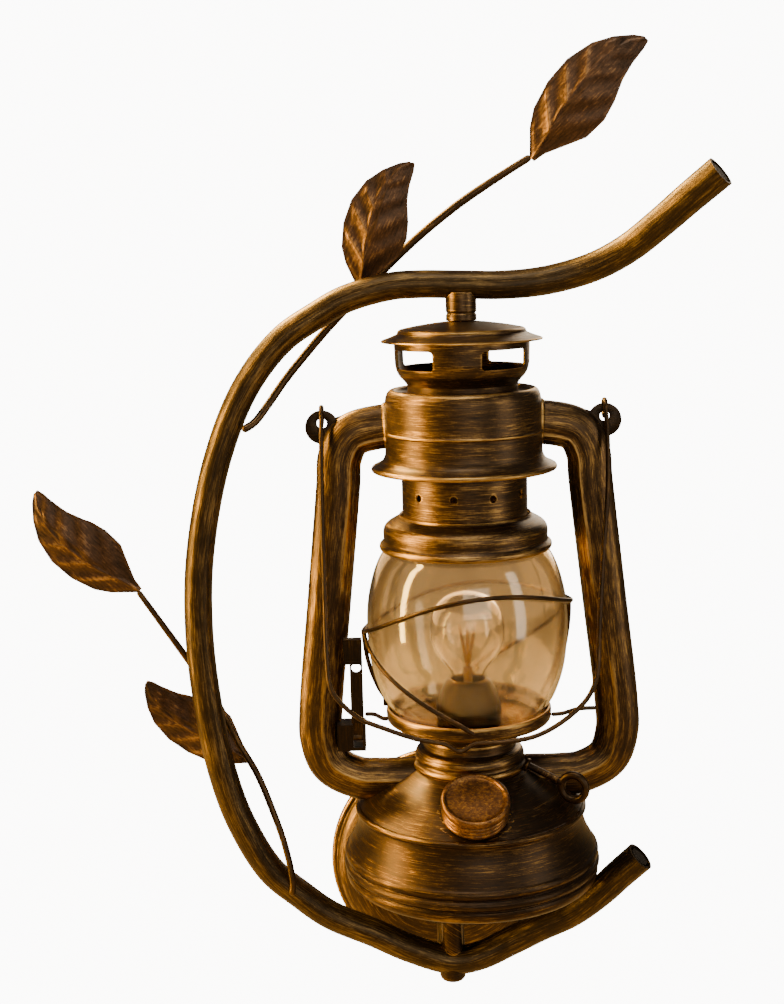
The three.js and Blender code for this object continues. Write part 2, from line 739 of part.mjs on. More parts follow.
const neckOutline = outlineOf(neckShares, neckRadius, neckHeight, neckFoot);
add('burner_neck', turned(walled(neckOutline)), bronze, lampGroup);
const burnerOutline = outlineOf(burnerShares, burnerFootRadius, burnerHeight, burnerFoot);
add('burner_cone', turned(walled(burnerOutline, sheet * 0.8), smallSides), darkBronze, lampGroup);
add('lamp_holder', makeHolder(), darkPlastic, lampGroup);
const bulbBaseOutline = outlineOf(bulbBaseShares, bulbBaseRadius, bulbBaseHeight, bulbBaseFoot);
add('bulb_base', turned(bulbBaseOutline, smallSides), brassScrew, lampGroup);
const bulbOutline = outlineOf(bulbShares, bulbRadius, bulbHeight, bulbFoot);
add('bulb_glass', turned(walled(bulbOutline, bulbWall), smallSides), clearGlass, lampGroup);
add('bulb_filament', makeFilament(), filamentYellow, lampGroup);

// Globe carriage: dish, globe, its cap and the chimney collar slide up together.
const dishShares = [
  [0.407, 0], [0.574, 0], [0.731, 0.22], [0.927, 0.5], [1, 0.61], [1, 0.95], [0.985, 1],
];
const globeShares = [
  [0.72, 0], [0.79, 0.075], [0.874, 0.146], [0.957, 0.276], [0.9935, 0.43], [1, 0.583],
  [0.978, 0.686], [0.92, 0.818], [0.862, 0.9], [0.788, 0.965], [0.788, 1],
];
const bellShares = [
  [0.987, 0], [1, 0.1], [0.954, 0.27], [0.954, 0.55], [0.92, 0.72], [0.845, 0.86], [0.76, 1],
];

const collarFirstTurn = THREE.MathUtils.degToRad(-102.5);

function makeCollar() {
  const top = collarFoot + collarHeight;
  const tube = turned([[collarRadius, collarFoot], [collarRadius, top],
    [collarRadius - sheet, top], [collarRadius - sheet, collarFoot]]);
  const holeHeight = bellTop + hoodLift / 2;
  const holes = Array.from({ length: collarHoleCount }, (_, i) => {
    const hole = cylinder(collarHoleRadius, cutOverrun * 2, 0, wireSides).rotateY(Math.PI / 2);
    hole.translate(collarRadius - cutOverrun, 0, holeHeight);
    return hole.rotateZ(collarFirstTurn + i * 2 * Math.PI / collarHoleCount);
  });
  return cut(tube, ...holes);
}

const dishOutline = outlineOf(dishShares, dishRadius, dishHeight, dishFoot);
const globeOutline = outlineOf(globeShares, globeRadius, globeHeight, globeFoot);
add('globe_dish', turned(walled(dishOutline)), bronze, lampGroup);
add('globe_glass', turned(walled(globeOutline, globeWall)), clearGlass, lampGroup);
const bellOutline = outlineOf(bellShares, bellRadius, bellHeight, bellFoot);
add('globe_cap', turned(walled(bellOutline)), bronze, lampGroup);
add('chimney_collar', makeCollar(), bronze, lampGroup);

// Globe guard: a tilted hoop round the globe with four legs down to the dish.
function globeRadiusAt(height) {
  for (let i = 1; i < globeOutline.length; i++) {
    const [lower, upper] = [globeOutline[i - 1], globeOutline[i]];
    if (height <= upper[1]) {
      const share = Math.max(0, (height - lower[1]) / (upper[1] - lower[1]));
      return lower[0] + (upper[0] - lower[0]) * share;
    }
  }
  return globeRadius;
}

const guardFootHeight = dishFoot + dishHeight - 2 * guardWire;
const hoopRadius = globeRadius + 2 * seatGap + guardWire;

function guardPoint(turn, height) {
  const clear = seatGap + guardWire;
  const radius = Math.max(globeRadiusAt(height) + clear + 2 * seatGap, dishRadius + clear);
  return [radius * Math.cos(turn), radius * Math.sin(turn), height];
}

function hoopHeight(turn) {
  return guardHeight + guardRise * Math.cos(turn - guardHighTurn) - guardBow * Math.cos(2 * turn);
}

// Each leg starts at the hoop and ends on the dish, at these shares of a full turn.
const guardLegShares = [[0.519, 0.75], [0, 0.261], [0.014, 0.056], [0.494, 0.467]];
const hoopSteps = 28;
const guardLegSteps = 8;
const guardLegSides = 5;

function makeGuard() {
  const section = ellipse(guardWire, guardWire, wireSides);
  const hoop = turned(section.map((c) => [hoopRadius + c.x, c.y]), hoopSteps);
  const place = hoop.attributes.position;
  for (let i = 0; i < place.count; i++) {
    place.setZ(i, place.getZ(i) + hoopHeight(Math.atan2(place.getY(i), place.getX(i))));
  }
  const legs = guardLegShares.map((shares) => {
    const [from, to] = shares.map((share) => 2 * Math.PI * share);
    const points = Array.from({ length: guardLegSteps + 1 }, (_, i) => {
      const share = i / guardLegSteps;
      const turn = from + (to - from) * share;
      return guardPoint(turn, hoopHeight(from) + (guardFootHeight - hoopHeight(from)) * share);
    });
    return wire(points, guardWire, guardLegSteps, guardLegSides);
  });
  return join(hoop, ...legs);
}

add('globe_guard', makeGuard(), darkBronze, lampGroup);

// Side tubes: flat oval tubes from the hood down to the tank, each with its ear.
const tubePathShares = [
  [0.44, 0, 1], [0.68, 0, 1], [0.9, 0, 0.977], [0.99, 0, 0.92], [1, 0.04, 0.848], [1, 0.5, 0.53],
  [1, 0.965, 0.21], [1, 0.99, 0.127], [1, 0.64, 0.049], [0.93, 0, 0.0065], [0.74, 0, 0],
  [0.5, 0, 0],
];
const tubeSteps = 22;
const tubeSides = 8;

function tubeCurve(side) {
  const points = tubePathShares.map(([across, spread, up]) => {
    const x = across * tubeTopSpan + spread * (tubeFootSpan - tubeTopSpan);
    return [side * x, 0, tubeFootHeight + up * (tubeTopHeight - tubeFootHeight)];
  });
  return flatCurve(points);
}

function tubeBody(side, grow = 0) {
  return swept(tubeCurve(side), ellipse(tubeHalfWidth + grow, tubeHalfDepth + grow, tubeSides), tubeSteps);
}

const hoodShares = [
  [0.985, 0.02], [1.14, 0], [1.188, 0.02], [1.158, 0.066], [1.06, 0.11], [1, 0.24], [1, 0.455],
  [1.015, 0.482], [1, 0.51], [0.992, 0.878], [0.96, 0.957], [0.912, 1], [0.85, 0.97], [0.714, 0.933],
];
const hoodInsideShares = [
  [0.714, 0.909], [0.86, 0.925], [0.91, 0.96], [0.94, 0.92], [0.967, 0.86], [0.967, 0.05],
];

// Fills an outline down to the axis, grown by a gap, to keep the tubes clear of it.
function keepOutOf(outline, rise = 0) {
  const grown = outline.map(([r, z]) => [r + seatGap, z + rise]);
  return solid(turned([[0, grown[0][1]], ...grown, [0, grown[grown.length - 1][1]]]));
}

function makeEar(side) {
  const lobe = cylinder(earRadius, earThickness, -earThickness / 2).rotateX(Math.PI / 2);
  const webWidth = earRadius + tubeHalfWidth / 2;
  const web = block(webWidth, earThickness, 2 * earRadius).rotateY(side * Math.PI / 5);
  web.translate(-side * webWidth / 2, 0, -earRadius / 2);
  return join(lobe, web).translate(side * earSpan, 0, earHoleHeight);
}

function makeSideTube(side) {
  const inner = ellipse(tubeHalfWidth - tubeWall, tubeHalfDepth - tubeWall, tubeSides);
  const outer = ellipse(tubeHalfWidth, tubeHalfDepth, tubeSides);
  const tube = solid(swept(tubeCurve(side), outer, tubeSteps, inner));
  const bore = solid(swept(tubeCurve(side), inner, tubeSteps));
  const ear = solid(makeEar(side)).subtract(bore);
  const hole = cylinder(earHoleRadius, 4 * earThickness, -2 * earThickness).rotateX(Math.PI / 2);
  const neck = cylinder(neckRadius + 2 * seatGap, neckHeight, neckFoot - seatGap, largeSides);
  return geometryOf(tube.add(ear)
    .subtract(solid(hole.translate(side * earSpan, 0, earHoleHeight)))
    .subtract(keepOutOf(outlineOf(hoodShares, hoodRadius, hoodHeight, hoodFoot)))
    .subtract(keepOutOf(tankOutline(), seatGap))
    .subtract(solid(neck)));
}

add('side_tube_left', makeSideTube(-1), goldBronze, lampGroup);
add('side_tube_right', makeSideTube(1), goldBronze, lampGroup);

// Hood, vent ring and cap.
const ventShares = [
  [0.814, 0], [0.814, 0.24], [0.863, 0.33], [0.944, 0.45], [0.987, 0.58], [1, 0.9], [1, 1],
];
const capShares = [
  [1, 0], [0.995, 0.11], [0.808, 0.4], [0.775, 0.59], [0.5, 0.83], [0.2, 1], [0.094, 1],
];
const spigotRadius = 3.1;
const windowMiddleShare = 0.67;
const windowTurn = THREE.MathUtils.degToRad(-52);

function makeHood() {
  const outside = outlineOf(hoodShares, hoodRadius, hoodHeight, hoodFoot);
  const inside = outlineOf(hoodInsideShares, hoodRadius, hoodHeight, hoodFoot);
  return turned([...outside, ...inside]);
}

function makeVentRing() {
  const ring = turned(walled(outlineOf(ventShares, ventRadius, ventHeight, ventFoot)));
  const corner = windowHeight / 5;
  const [halfWidth, halfHeight] = [windowWidth / 2, windowHeight / 2];
  const shape = new THREE.Shape();
  shape.moveTo(-halfWidth + corner, -halfHeight);
  for (const [turn, x, z] of [[-0.5, 1, -1], [0, 1, 1], [0.5, -1, 1], [1, -1, -1]]) {
    const [cx, cz] = [x * (halfWidth - corner), z * (halfHeight - corner)];
    shape.absarc(cx, cz, corner, turn * Math.PI, (turn + 0.5) * Math.PI);
  }
  const depth = ventRadius / 2;
  const windowMiddle = ventFoot + ventHeight * windowMiddleShare;
  const windows = Array.from({ length: windowCount }, (_, i) => {
    const opening = new THREE.ExtrudeGeometry(shape, { depth, bevelEnabled: false, curveSegments: 2 });
    opening.rotateX(Math.PI / 2).rotateZ(Math.PI / 2).translate(ventRadius - depth / 2, 0, windowMiddle);
    return opening.rotateZ(windowTurn + i * 2 * Math.PI / windowCount);
  });
  return cut(ring, ...windows);
}

const hangerShares = [[0, 0], [1, 0], [1, 0.2], [0.93, 0.23], [0.93, 0.27], [1, 0.3], [1, 1], [0, 1]];

function makeHangerPost() {
  const foot = capTop + seatGap;
  const height = hangerHeight + branchRadius * saddleShare;
  const post = turned(outlineOf(hangerShares, postRadius, height, foot), smallSides);
  const spigotLength = nutHeight + 3 * sheet + seatGap;
  const spigot = cylinder(spigotRadius, spigotLength + seatGap, foot - spigotLength);
  const keepOut = branchKeepOut.clone().translate(-lampX, -lampY, -lampZ);
  return cut(join(post, spigot), keepOut);
}

add('hood', makeHood(), bronze, lampGroup);
add('vent_ring', makeVentRing(), bronze, lampGroup);
add('top_cap', turned(walled(outlineOf(capShares, capRadius, capHeight, capFoot))), bronze, lampGroup);
add('hanger_post', makeHangerPost(), bronze, lampGroup);
const hangerNutFoot = capTop - sheet * 1.4 - seatGap - nutHeight;
add('hanger_nut', makeNut(hangerNutFoot, spigotRadius + seatGap), zincSteel, lampGroup);

// Bail: one wire with an eye through each ear and a kink at its middle.
// Shares across are of the ears' span, and down are of the bail's length.
const bailShares = [
  [-1.005, 0.09], [-1.008, 0.25], [-1.005, 0.48], [-0.998, 0.72], [-0.981, 0.8], [-0.945, 0.832],
  [-0.794, 0.894], [-0.6, 0.93], [-0.4, 0.96], [-0.19, 0.98], [-0.099, 1], [0, 0.98],
  [0.2, 0.976], [0.42, 0.962], [0.622, 0.919], [0.794, 0.854], [0.862, 0.79], [0.885, 0.7],
  [0.9, 0.62], [0.945, 0.42], [0.99, 0.25], [1.005, 0.09],
];
const bailEyeShares = [[-1, -0.6], [0, -1], [1, -0.6], [1, 0.6], [0, 1], [-1, 0.6]];
const bailSteps = 44;
const bailSides = 5;
const bailEyeSteps = 10;
const bailPivotHeight = earHoleHeight + earHoleRadius + (earRadius - earHoleRadius) / 2;

// The bail leans out by its tilt, or further where it is long enough to lie on the
// filler cap. The room is measured from its pivot down the filler's axis to the cap.
function bailLean() {
  const pivotAbove = (bailPivotHeight - fillerFootHeight) * Math.cos(fillerTilt);
  const pivotBehind = (fillerReach - bailEyeRadius) * Math.sin(fillerTilt);
  const room = pivotAbove - pivotBehind - fillerCapHeight - bailWire - runningGap;
  return Math.max(bailTilt, Math.acos(Math.min(1, room / bailLength)) - fillerTilt);
}

function makeBail() {
  const lean = Math.tan(bailLean());
  const fall = Math.cos(bailLean());
  const points = bailShares.map(([across, down]) => {
    const drop = down * bailLength * fall;
    return [across * earSpan, -(bailEyeRadius + drop * lean), bailPivotHeight - drop];
  });
  const first = [-earSpan, -bailEyeRadius, bailPivotHeight];
  const last = [earSpan, -bailEyeRadius, bailPivotHeight];
  const legs = wire([first, ...points, last], bailWire, bailSteps, bailSides);
  const eyes = [-1, 1].map((side) => {
    const outline = bailEyeShares.map(([width, out]) => {
      return [bailEyeRadius + out * bailEyeThickness, width * bailEyeWidth / 2];
    });
    const eye = turned(outline, bailEyeSteps).rotateY(Math.PI / 2);
    return eye.translate(side * earSpan, 0, bailPivotHeight);
  });
  return join(legs, ...eyes);
}

add('bail', makeBail(), goldBronze, lampGroup);

// Globe lift: a lever in a bracket on the left tube, and the dish's guide wires. The
// lever stands just in front of the tubes and clear of the guard's hoop.
const leverBack = tubeHalfDepth + runningGap;
const leverBoss = leverPinRadius + seatGap;
const leverY = -(leverBack + leverBoss);
const leverInner = Math.sqrt((hoopRadius + guardWire + runningGap) ** 2 - leverBack ** 2);
const leverX = -(leverInner + leverWidth / 2);
const leverPivot = tubeFootHeight + tubeHalfWidth + leverPivotHeight;
const bracketSlot = leverTangWidth + 2 * runningGap;
const bracketWidth = bracketSlot + 2 * bracketCheek;

// Builds the bracket and the lever round the pin, and sets them on it.
function onLeverPin(geometry) {
  return geometry.translate(leverX, leverY, leverPivot);
}

function makeBracket() {
  const tubeAtPivot = tubeFootSpan - tubeHalfWidth * 0.8;
  const reach = Math.max(tubeAtPivot + leverX, bracketWidth / 2) + bracketWidth / 2;
  const body = block(reach, bracketDepth, bracketHeight);
  body.translate(bracketWidth / 2 - reach / 2, bracketDepth / 2 - leverBoss, 0);
  const slot = block(bracketSlot, 2 * bracketDepth, bracketHeight);
  const pinHole = cylinder(leverPinRadius + seatGap, bracketWidth + cutOverrun, -bracketWidth / 2);
  const bracket = cut(body, slot.translate(0, 0, bracketFloor), pinHole.rotateY(Math.PI / 2));
  return cut(onLeverPin(bracket), tubeBody(-1, seatGap));
}

function makeLever() {
  const boss = cylinder(leverBoss, leverTangWidth, -leverTangWidth / 2).rotateY(Math.PI / 2);
  const pinLength = bracketWidth - 2 * seatGap;
  const pin = cylinder(leverPinRadius, pinLength, -pinLength / 2).rotateY(Math.PI / 2);
  const tangLength = Math.hypot(bracketHeight / 2, leverBoss) + runningGap;
  const tang = block(leverTangWidth, leverThickness, tangLength + seatGap);
  tang.translate(0, 0, (tangLength + seatGap) / 2);
  const bar = block(leverWidth, leverThickness, leverLength - tangLength);
  bar.translate(0, 0, (leverLength + tangLength) / 2);
  const head = block(leverHeadWidth, leverHeadDepth, leverHeadHeight);
  head.translate(-(leverHeadWidth - leverWidth) / 2, -(leverHeadDepth - leverThickness) / 2,
    leverLength + leverHeadHeight / 2 - seatGap);
  const eye = cylinder(leverWidth / 3, leverHeadDepth, -leverHeadDepth / 2).rotateX(Math.PI / 2);
  eye.translate(0, 0, leverLength - leverWidth / 2);
  return onLeverPin(cut(join(boss, pin, tang, bar, head), eye));
}

// The wires' shares are of their reach out from the dish and of their rise.
const guideShares = [[0, 0], [0.25, 0.15], [0.6, 0.9], [1, 1]];
const tubeSpreadAtDishShare = 0.85;
const guideSteps = 10;

function makeGuideWire(side) {
  const tubeInner = tubeTopSpan + (tubeFootSpan - tubeTopSpan) * tubeSpreadAtDishShare - tubeHalfWidth;
  const start = Math.sqrt(dishRadius ** 2 - leverY ** 2) + seatGap;
  const end = side < 0 ? -leverX - leverWidth / 2 - runningGap : tubeInner + guideWire;
  const foot = dishFoot + dishHeight * 0.75;
  const points = guideShares.map(([out, up]) => {
    return [side * (start + (end - start) * out), leverY, foot + guideRise * up];
  });
  return wire(points, guideWire, guideSteps);
}

add('lift_bracket', makeBracket(), bronze, lampGroup);
add('lift_lever', makeLever(), goldBronze, lampGroup);
add('guide_wire_left', makeGuideWire(-1), darkBronze, lampGroup);
add('guide_wire_right', makeGuideWire(1), darkBronze, lampGroup);

// Filler: a short neck through the dome and a screw cap with a ribbed skirt.
const capSkirtWall = 1.4;
const capSkirtShares = [[0.97, 0.03], [0.97, 0.68], [1, 0.74], [1, 0.93], [0.955, 1]];

function makeFillerNeck() {
  const foot = -fillerSeat - 2 * sheet;
  return turned([[fillerNeckRadius - sheet, foot], [fillerNeckRadius, foot],
    [fillerNeckRadius, fillerNeckHeight], [fillerNeckRadius - sheet, fillerNeckHeight]], smallSides);
}

function makeFillerCap() {
  const outside = outlineOf(capSkirtShares, fillerCapRadius, fillerCapHeight);
  const rim = fillerCapRadius - fillerRimWidth;
  const inner = fillerCapRadius * capSkirtShares[0][0] - capSkirtWall;
  const crown = fillerCapHeight - fillerCrownThickness;
  return turned([
    ...outside, [rim, fillerCapHeight], [rim - fillerDish, fillerCapHeight - fillerDish],
    [0, fillerCapHeight - fillerDish], [0, crown], [inner, crown], [inner, seatGap],
  ]);
}

add('filler_neck', onFiller(makeFillerNeck()), bronze, lampGroup);
add('filler_cap', onFiller(makeFillerCap()), goldBronze, lampGroup);

// Wick winder: a spindle from the neck with a finger loop at its end.
const winderHeightShare = 0.2; // of the neck's height
const winderLoopSteps = 14;

function onWinder(geometry) {
  const reach = neckRadius + 3 * runningGap;
  geometry.rotateY(-winderDrop).translate(reach, 0, neckFoot + neckHeight * winderHeightShare);
  return geometry.rotateZ(winderTurn);
}

function makeWinderSpindle() {
  const spindle = cylinder(winderWire, winderLength).rotateY(Math.PI / 2);
  const collar = cylinder(winderWire * 2, winderWire).rotateY(Math.PI / 2);
  return join(spindle, collar);
}

function makeWinderLoop() {
  const section = ellipse(winderLoopWire, winderLoopWire, wireSides);
  const ring = turned(section.map((c) => [winderLoopRadius + c.x, c.y]), winderLoopSteps);
  ring.rotateX(Math.PI / 2);
  const start = winderLength + seatGap;
  const stub = cylinder(winderWire * 1.25, winderLoopWire * 1.4).rotateY(Math.PI / 2);
  return join(ring.translate(start + winderLoopRadius + winderLoopWire, 0, 0), stub.translate(start, 0, 0));
}

add('winder_spindle', onWinder(makeWinderSpindle()), goldBronze, lampGroup);
add('winder_loop', onWinder(makeWinderLoop()), goldBronze, lampGroup);

export default group;
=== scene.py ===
"""Wall lamp in the form of a small storm lantern: fine surfaces and finishes over its frame.

Tables are in millimetres, or in shares of what their comment or function names, and become
metres where a mesh is made. Heights are above the tank's foot unless a comment says otherwise.
"""
import json
import math
from functools import partial

import bmesh
import bpy
from mathutils import Matrix, Vector


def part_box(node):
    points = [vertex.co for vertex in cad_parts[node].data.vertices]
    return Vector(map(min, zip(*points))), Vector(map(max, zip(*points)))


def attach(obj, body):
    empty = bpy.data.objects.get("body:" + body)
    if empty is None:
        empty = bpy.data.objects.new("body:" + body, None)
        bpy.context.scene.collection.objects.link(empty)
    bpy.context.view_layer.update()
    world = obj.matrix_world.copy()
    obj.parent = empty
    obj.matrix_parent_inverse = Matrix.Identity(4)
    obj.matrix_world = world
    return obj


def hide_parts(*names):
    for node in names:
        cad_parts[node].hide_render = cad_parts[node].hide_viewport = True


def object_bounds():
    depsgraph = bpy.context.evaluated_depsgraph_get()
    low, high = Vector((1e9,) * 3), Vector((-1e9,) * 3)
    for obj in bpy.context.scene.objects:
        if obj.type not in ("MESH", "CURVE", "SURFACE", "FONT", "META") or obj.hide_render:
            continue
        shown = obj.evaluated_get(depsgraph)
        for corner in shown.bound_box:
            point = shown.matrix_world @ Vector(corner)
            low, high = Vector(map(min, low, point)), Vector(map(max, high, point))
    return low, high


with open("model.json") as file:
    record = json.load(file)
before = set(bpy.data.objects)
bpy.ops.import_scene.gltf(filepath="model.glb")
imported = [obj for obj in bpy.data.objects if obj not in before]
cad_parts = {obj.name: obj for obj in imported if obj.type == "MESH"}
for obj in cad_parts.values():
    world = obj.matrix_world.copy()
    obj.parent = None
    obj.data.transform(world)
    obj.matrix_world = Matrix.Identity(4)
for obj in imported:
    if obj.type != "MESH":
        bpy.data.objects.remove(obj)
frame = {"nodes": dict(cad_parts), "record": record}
cad_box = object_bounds()

MM = 0.001
ROUND_SIDES = 128             # facets round a large turned piece
SMALL_SIDES = 64              # and round a small one
WIRE_SIDES = 16
CURVE_STEP = 0.8              # millimetres between the points of an outline
FINE_STEP = 0.4               # and of a small piece's outline
SHEET = 0.9                   # thickness of the sheet metal
SHARP_ANGLE = math.radians(38)
QUARTER_TURN = math.pi / 2
TINY = 1e-6                   # a length with no direction
AROUND_STRETCH = 0.045        # brush strokes run about 22 times their width round a turned piece
ALONG_STRETCH = 0.05          # and 20 times their width along a tube
STROKE_LEAST = 8.0            # nearer the axis than this radius, strokes get no shorter

BODY_OF = {n: b for b, ns in frame["record"]["behaviour"]["bodies"].items() for n in ns}
JOINTS = {j["name"]: j for j in frame["record"]["behaviour"]["joints"]}


# Places in the frame

def node_box(name):
    low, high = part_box(name)
    return low / MM, high / MM


tank_low, tank_high = node_box("tank_shell")
LAMP = Vector(((tank_low.x + tank_high.x) / 2, (tank_low.y + tank_high.y) / 2,
               node_box("tank_pan")[0].z))
AT_LAMP = Matrix.Translation(LAMP)


def at_joint(name):
    """A joint's place in millimetres, with Z along its axis and X level."""
    joint = JOINTS[name]
    along = Vector(joint["axis"]).normalized()
    level = Vector((0, 0, 1)).cross(along).normalized()
    turn = Matrix((level, along.cross(level), along)).transposed().to_4x4()
    return Matrix.Translation(Vector(joint["pos_m"]) / MM) @ turn


# Node trees

def add_node(tree, kind, settings=None, inputs=None, stops=()):
    """Adds a node. Inputs, by name or number, are sockets to link or plain values; stops
    are a colour ramp's places and colours. Returns the node's outputs."""
    made = tree.nodes.new(kind)
    for key, value in (settings or {}).items():
        setattr(made, key, value)
    for i, (place, colour) in enumerate(stops):
        elements = made.color_ramp.elements
        stop = elements[i] if i < len(elements) else elements.new(place)
        stop.position = place
        stop.color = linear(colour) if isinstance(colour, str) else (colour, colour, colour, 1)
    for key, value in (inputs or {}).items():
        if isinstance(value, bpy.types.NodeSocket):
            tree.links.new(value, made.inputs[key])
        else:
            made.inputs[key].default_value = value
    return made.outputs


def linear(hex_colour):
    """An sRGB hex colour as linear RGBA."""
    channels = [int(hex_colour[i:i + 2], 16) / 255 for i in (1, 3, 5)]
    return [c / 12.92 if c <= 0.04045 else ((c + 0.055) / 1.055) ** 2.4 for c in channels] + [1.0]


def new_material(name):
    material = bpy.data.materials.new(name)
    material.use_nodes = True
    tree = material.node_tree
    return material, partial(add_node, tree), tree.nodes["Principled BSDF"], tree.links.new


# Brushed bronze paint: steel painted dark brown, then dry-brushed with gold. The eye sees
# long thin streaks of gold along the brush's stroke, thickest on raised edges, over a
# satin brown that mirrors only strong lights. The stroke attribute follows the brush in
# metres and the edge attribute says how raised a point is. The gold's cover is the sum of
# four noises, each times its share, and of the edge.
FINE_SHARE, BROAD_SHARE, BLOTCH_SHARE, GRIT_SHARE = 0.9, 0.55, 0.4, 0.14
BROAD_STREAK = 5              # a broad streak is as wide as this many fine ones
GRIT_MM = 0.7
EVEN_COVER = 0.5              # taken off, so that the cover's middle lies near 0.5
BARE_COVER = 0.86             # cover at which unworn paint would take gold
GILDING_STEPS = ((-0.28, 0.0), (-0.05, 0.25), (0.1, 0.55), (0.3, 1.0))
BROWN_STEP = 0.4              # how gilded the middle brown is
PAINT_METALLIC, GILT_STEP = 0.75, 0.5
PLAIN_EDGE = 0.3              # edge of a piece that has no edge attribute
STREAK_RELIEF = 0.8           # height of a streak beside the grit's


def brushed_bronze(name, gold="#b08f56", middle="#4b3b29", dark="#1d1712", wear=0.33,
                   streak_mm=0.38, blotch_mm=16.0, roughness=0.33, edge_gold=0.26, stroked=True):
    material, node, shader, link = new_material(name)
    place = node("ShaderNodeTexCoord")["Object"]
    if stroked:
        stroke = node("ShaderNodeAttribute", {"attribute_name": "stroke"})["Vector"]
        edge = node("ShaderNodeAttribute", {"attribute_name": "edge"})["Fac"]
    else:
        upright = {0: place, 1: (1, 1, ALONG_STRETCH)}
        stroke = node("ShaderNodeVectorMath", {"operation": "MULTIPLY"}, upright)["Vector"]
        edge = PLAIN_EDGE
    noises = []
    for vector, size_mm, detail, rough in (
            (stroke, streak_mm, 3.0, 0.7), (stroke, streak_mm * BROAD_STREAK, 4.0, 0.65),
            (place, blotch_mm, 5.0, 0.6), (place, GRIT_MM, 3.0, 0.7)):
        sizes = {"Vector": vector, "Scale": 1 / (size_mm * MM), "Detail": detail, "Roughness": rough}
        noises.append(node("ShaderNodeTexNoise", inputs=sizes)["Fac"])
    fine, broad, blotch, grit = noises
    layers = node("ShaderNodeCombineXYZ", inputs={"X": fine, "Y": broad, "Z": blotch})["Vector"]
    shares = {0: layers, 1: (FINE_SHARE, BROAD_SHARE, BLOTCH_SHARE)}
    cover = node("ShaderNodeVectorMath", {"operation": "DOT_PRODUCT"}, shares)["Value"]
    for layer, share in ((edge, edge_gold), (grit, GRIT_SHARE)):
        more = {0: layer, 1: share, 2: cover}
        cover = node("ShaderNodeMath", {"operation": "MULTIPLY_ADD"}, more)["Value"]
    cover = node("ShaderNodeMath", {"operation": "SUBTRACT"}, {0: cover, 1: EVEN_COVER})["Value"]
    gilded = [(BARE_COVER - wear + step, gilt) for step, gilt in GILDING_STEPS]
    gilding = node("ShaderNodeValToRGB", inputs={"Fac": cover}, stops=gilded)["Color"]
    browns = [(0.0, dark), (BROWN_STEP, middle), (1.0, gold)]
    metals = [(0.0, PAINT_METALLIC), (GILT_STEP, 1.0)]
    satin = [(0.3, roughness - 0.05), (0.7, roughness + 0.12)]
    for socket, by, stops in (("Base Color", gilding, browns), ("Metallic", gilding, metals),
                              ("Roughness", fine, satin)):
        ramp = node("ShaderNodeValToRGB", inputs={"Fac": by}, stops=stops)
        link(ramp["Color"], shader.inputs[socket])
    relief = {0: fine, 1: STREAK_RELIEF, 2: grit}
    height = node("ShaderNodeMath", {"operation": "MULTIPLY_ADD"}, relief)["Value"]
    bump = {"Height": height, "Strength": 0.3, "Distance": 0.2 * MM}
    link(node("ShaderNodeBump", inputs=bump)["Normal"], shader.inputs["Normal"])
    return material


# Dark brown base paint where no gold was brushed on: a satin brown-black, faintly mottled.
MOTTLE_MM = 3.0


def base_paint(name, colour="#0f0b08", speck="#1d150d", roughness=0.5):
    material, node, shader, link = new_material(name)
    place = node("ShaderNodeTexCoord")["Object"]
    sizes = {"Vector": place, "Scale": 1 / (MOTTLE_MM * MM), "Detail": 5.0}
    mottle = node("ShaderNodeTexNoise", inputs=sizes)["Fac"]
    ramp = node("ShaderNodeValToRGB", inputs={"Fac": mottle}, stops=[(0.35, colour), (0.7, speck)])
    link(ramp["Color"], shader.inputs["Base Color"])
    shader.inputs["Metallic"].default_value = 0.6
    shader.inputs["Roughness"].default_value = roughness
    bump = {"Height": mottle, "Strength": 0.2, "Distance": 0.1 * MM}
    link(node("ShaderNodeBump", inputs=bump)["Normal"], shader.inputs["Normal"])
    return material


# Clear glass, pressed or blown: weak highlights, a faint tint and the slow waves of its mould.
GLASS_IOR, GLASS_HIGHLIGHT = 1.5, 0.3


def clear_glass(name, tint, roughness, wave_mm):
    material, node, shader, link = new_material(name)
    place = node("ShaderNodeTexCoord")["Object"]
    sizes = {"Vector": place, "Scale": 1 / (wave_mm * MM), "Detail": 2.0}
    wave = node("ShaderNodeTexNoise", inputs=sizes)["Fac"]
    shader.inputs["Base Color"].default_value = linear(tint)
    shader.inputs["Roughness"].default_value = roughness
    shader.inputs["IOR"].default_value = GLASS_IOR
    shader.inputs["Specular IOR Level"].default_value = GLASS_HIGHLIGHT
    shader.inputs["Transmission Weight"].default_value = 1.0
    bump = {"Height": wave, "Strength": 0.2, "Distance": 0.5 * MM}
    link(node("ShaderNodeBump", inputs=bump)["Normal"], shader.inputs["Normal"])
    return material


# Thin plating on small fittings, zinc or brass: bright metal dulled in patches.
PLATING_PATCH_MM, PLATING_DULL = 2.2, 0.15


def plated(name, light, shade, roughness):
    material, node, shader, link = new_material(name)
    place = node("ShaderNodeTexCoord")["Object"]
    sizes = {"Vector": place, "Scale": 1 / (PLATING_PATCH_MM * MM), "Detail": 4.0}
    mottle = node("ShaderNodeTexNoise", inputs=sizes)["Fac"]
    metals = [(0.3, shade), (0.7, light)]
    dulled = [(0.3, roughness + PLATING_DULL), (0.7, roughness)]
    for socket, stops in (("Base Color", metals), ("Roughness", dulled)):
        ramp = node("ShaderNodeValToRGB", inputs={"Fac": mottle}, stops=stops)
        link(ramp["Color"], shader.inputs[socket])
    shader.inputs["Metallic"].default_value = 1.0
    return material


# Moulded phenolic plastic or a sprayed coat: one colour with a fine matt grain.
GRAIN_MM = 0.6


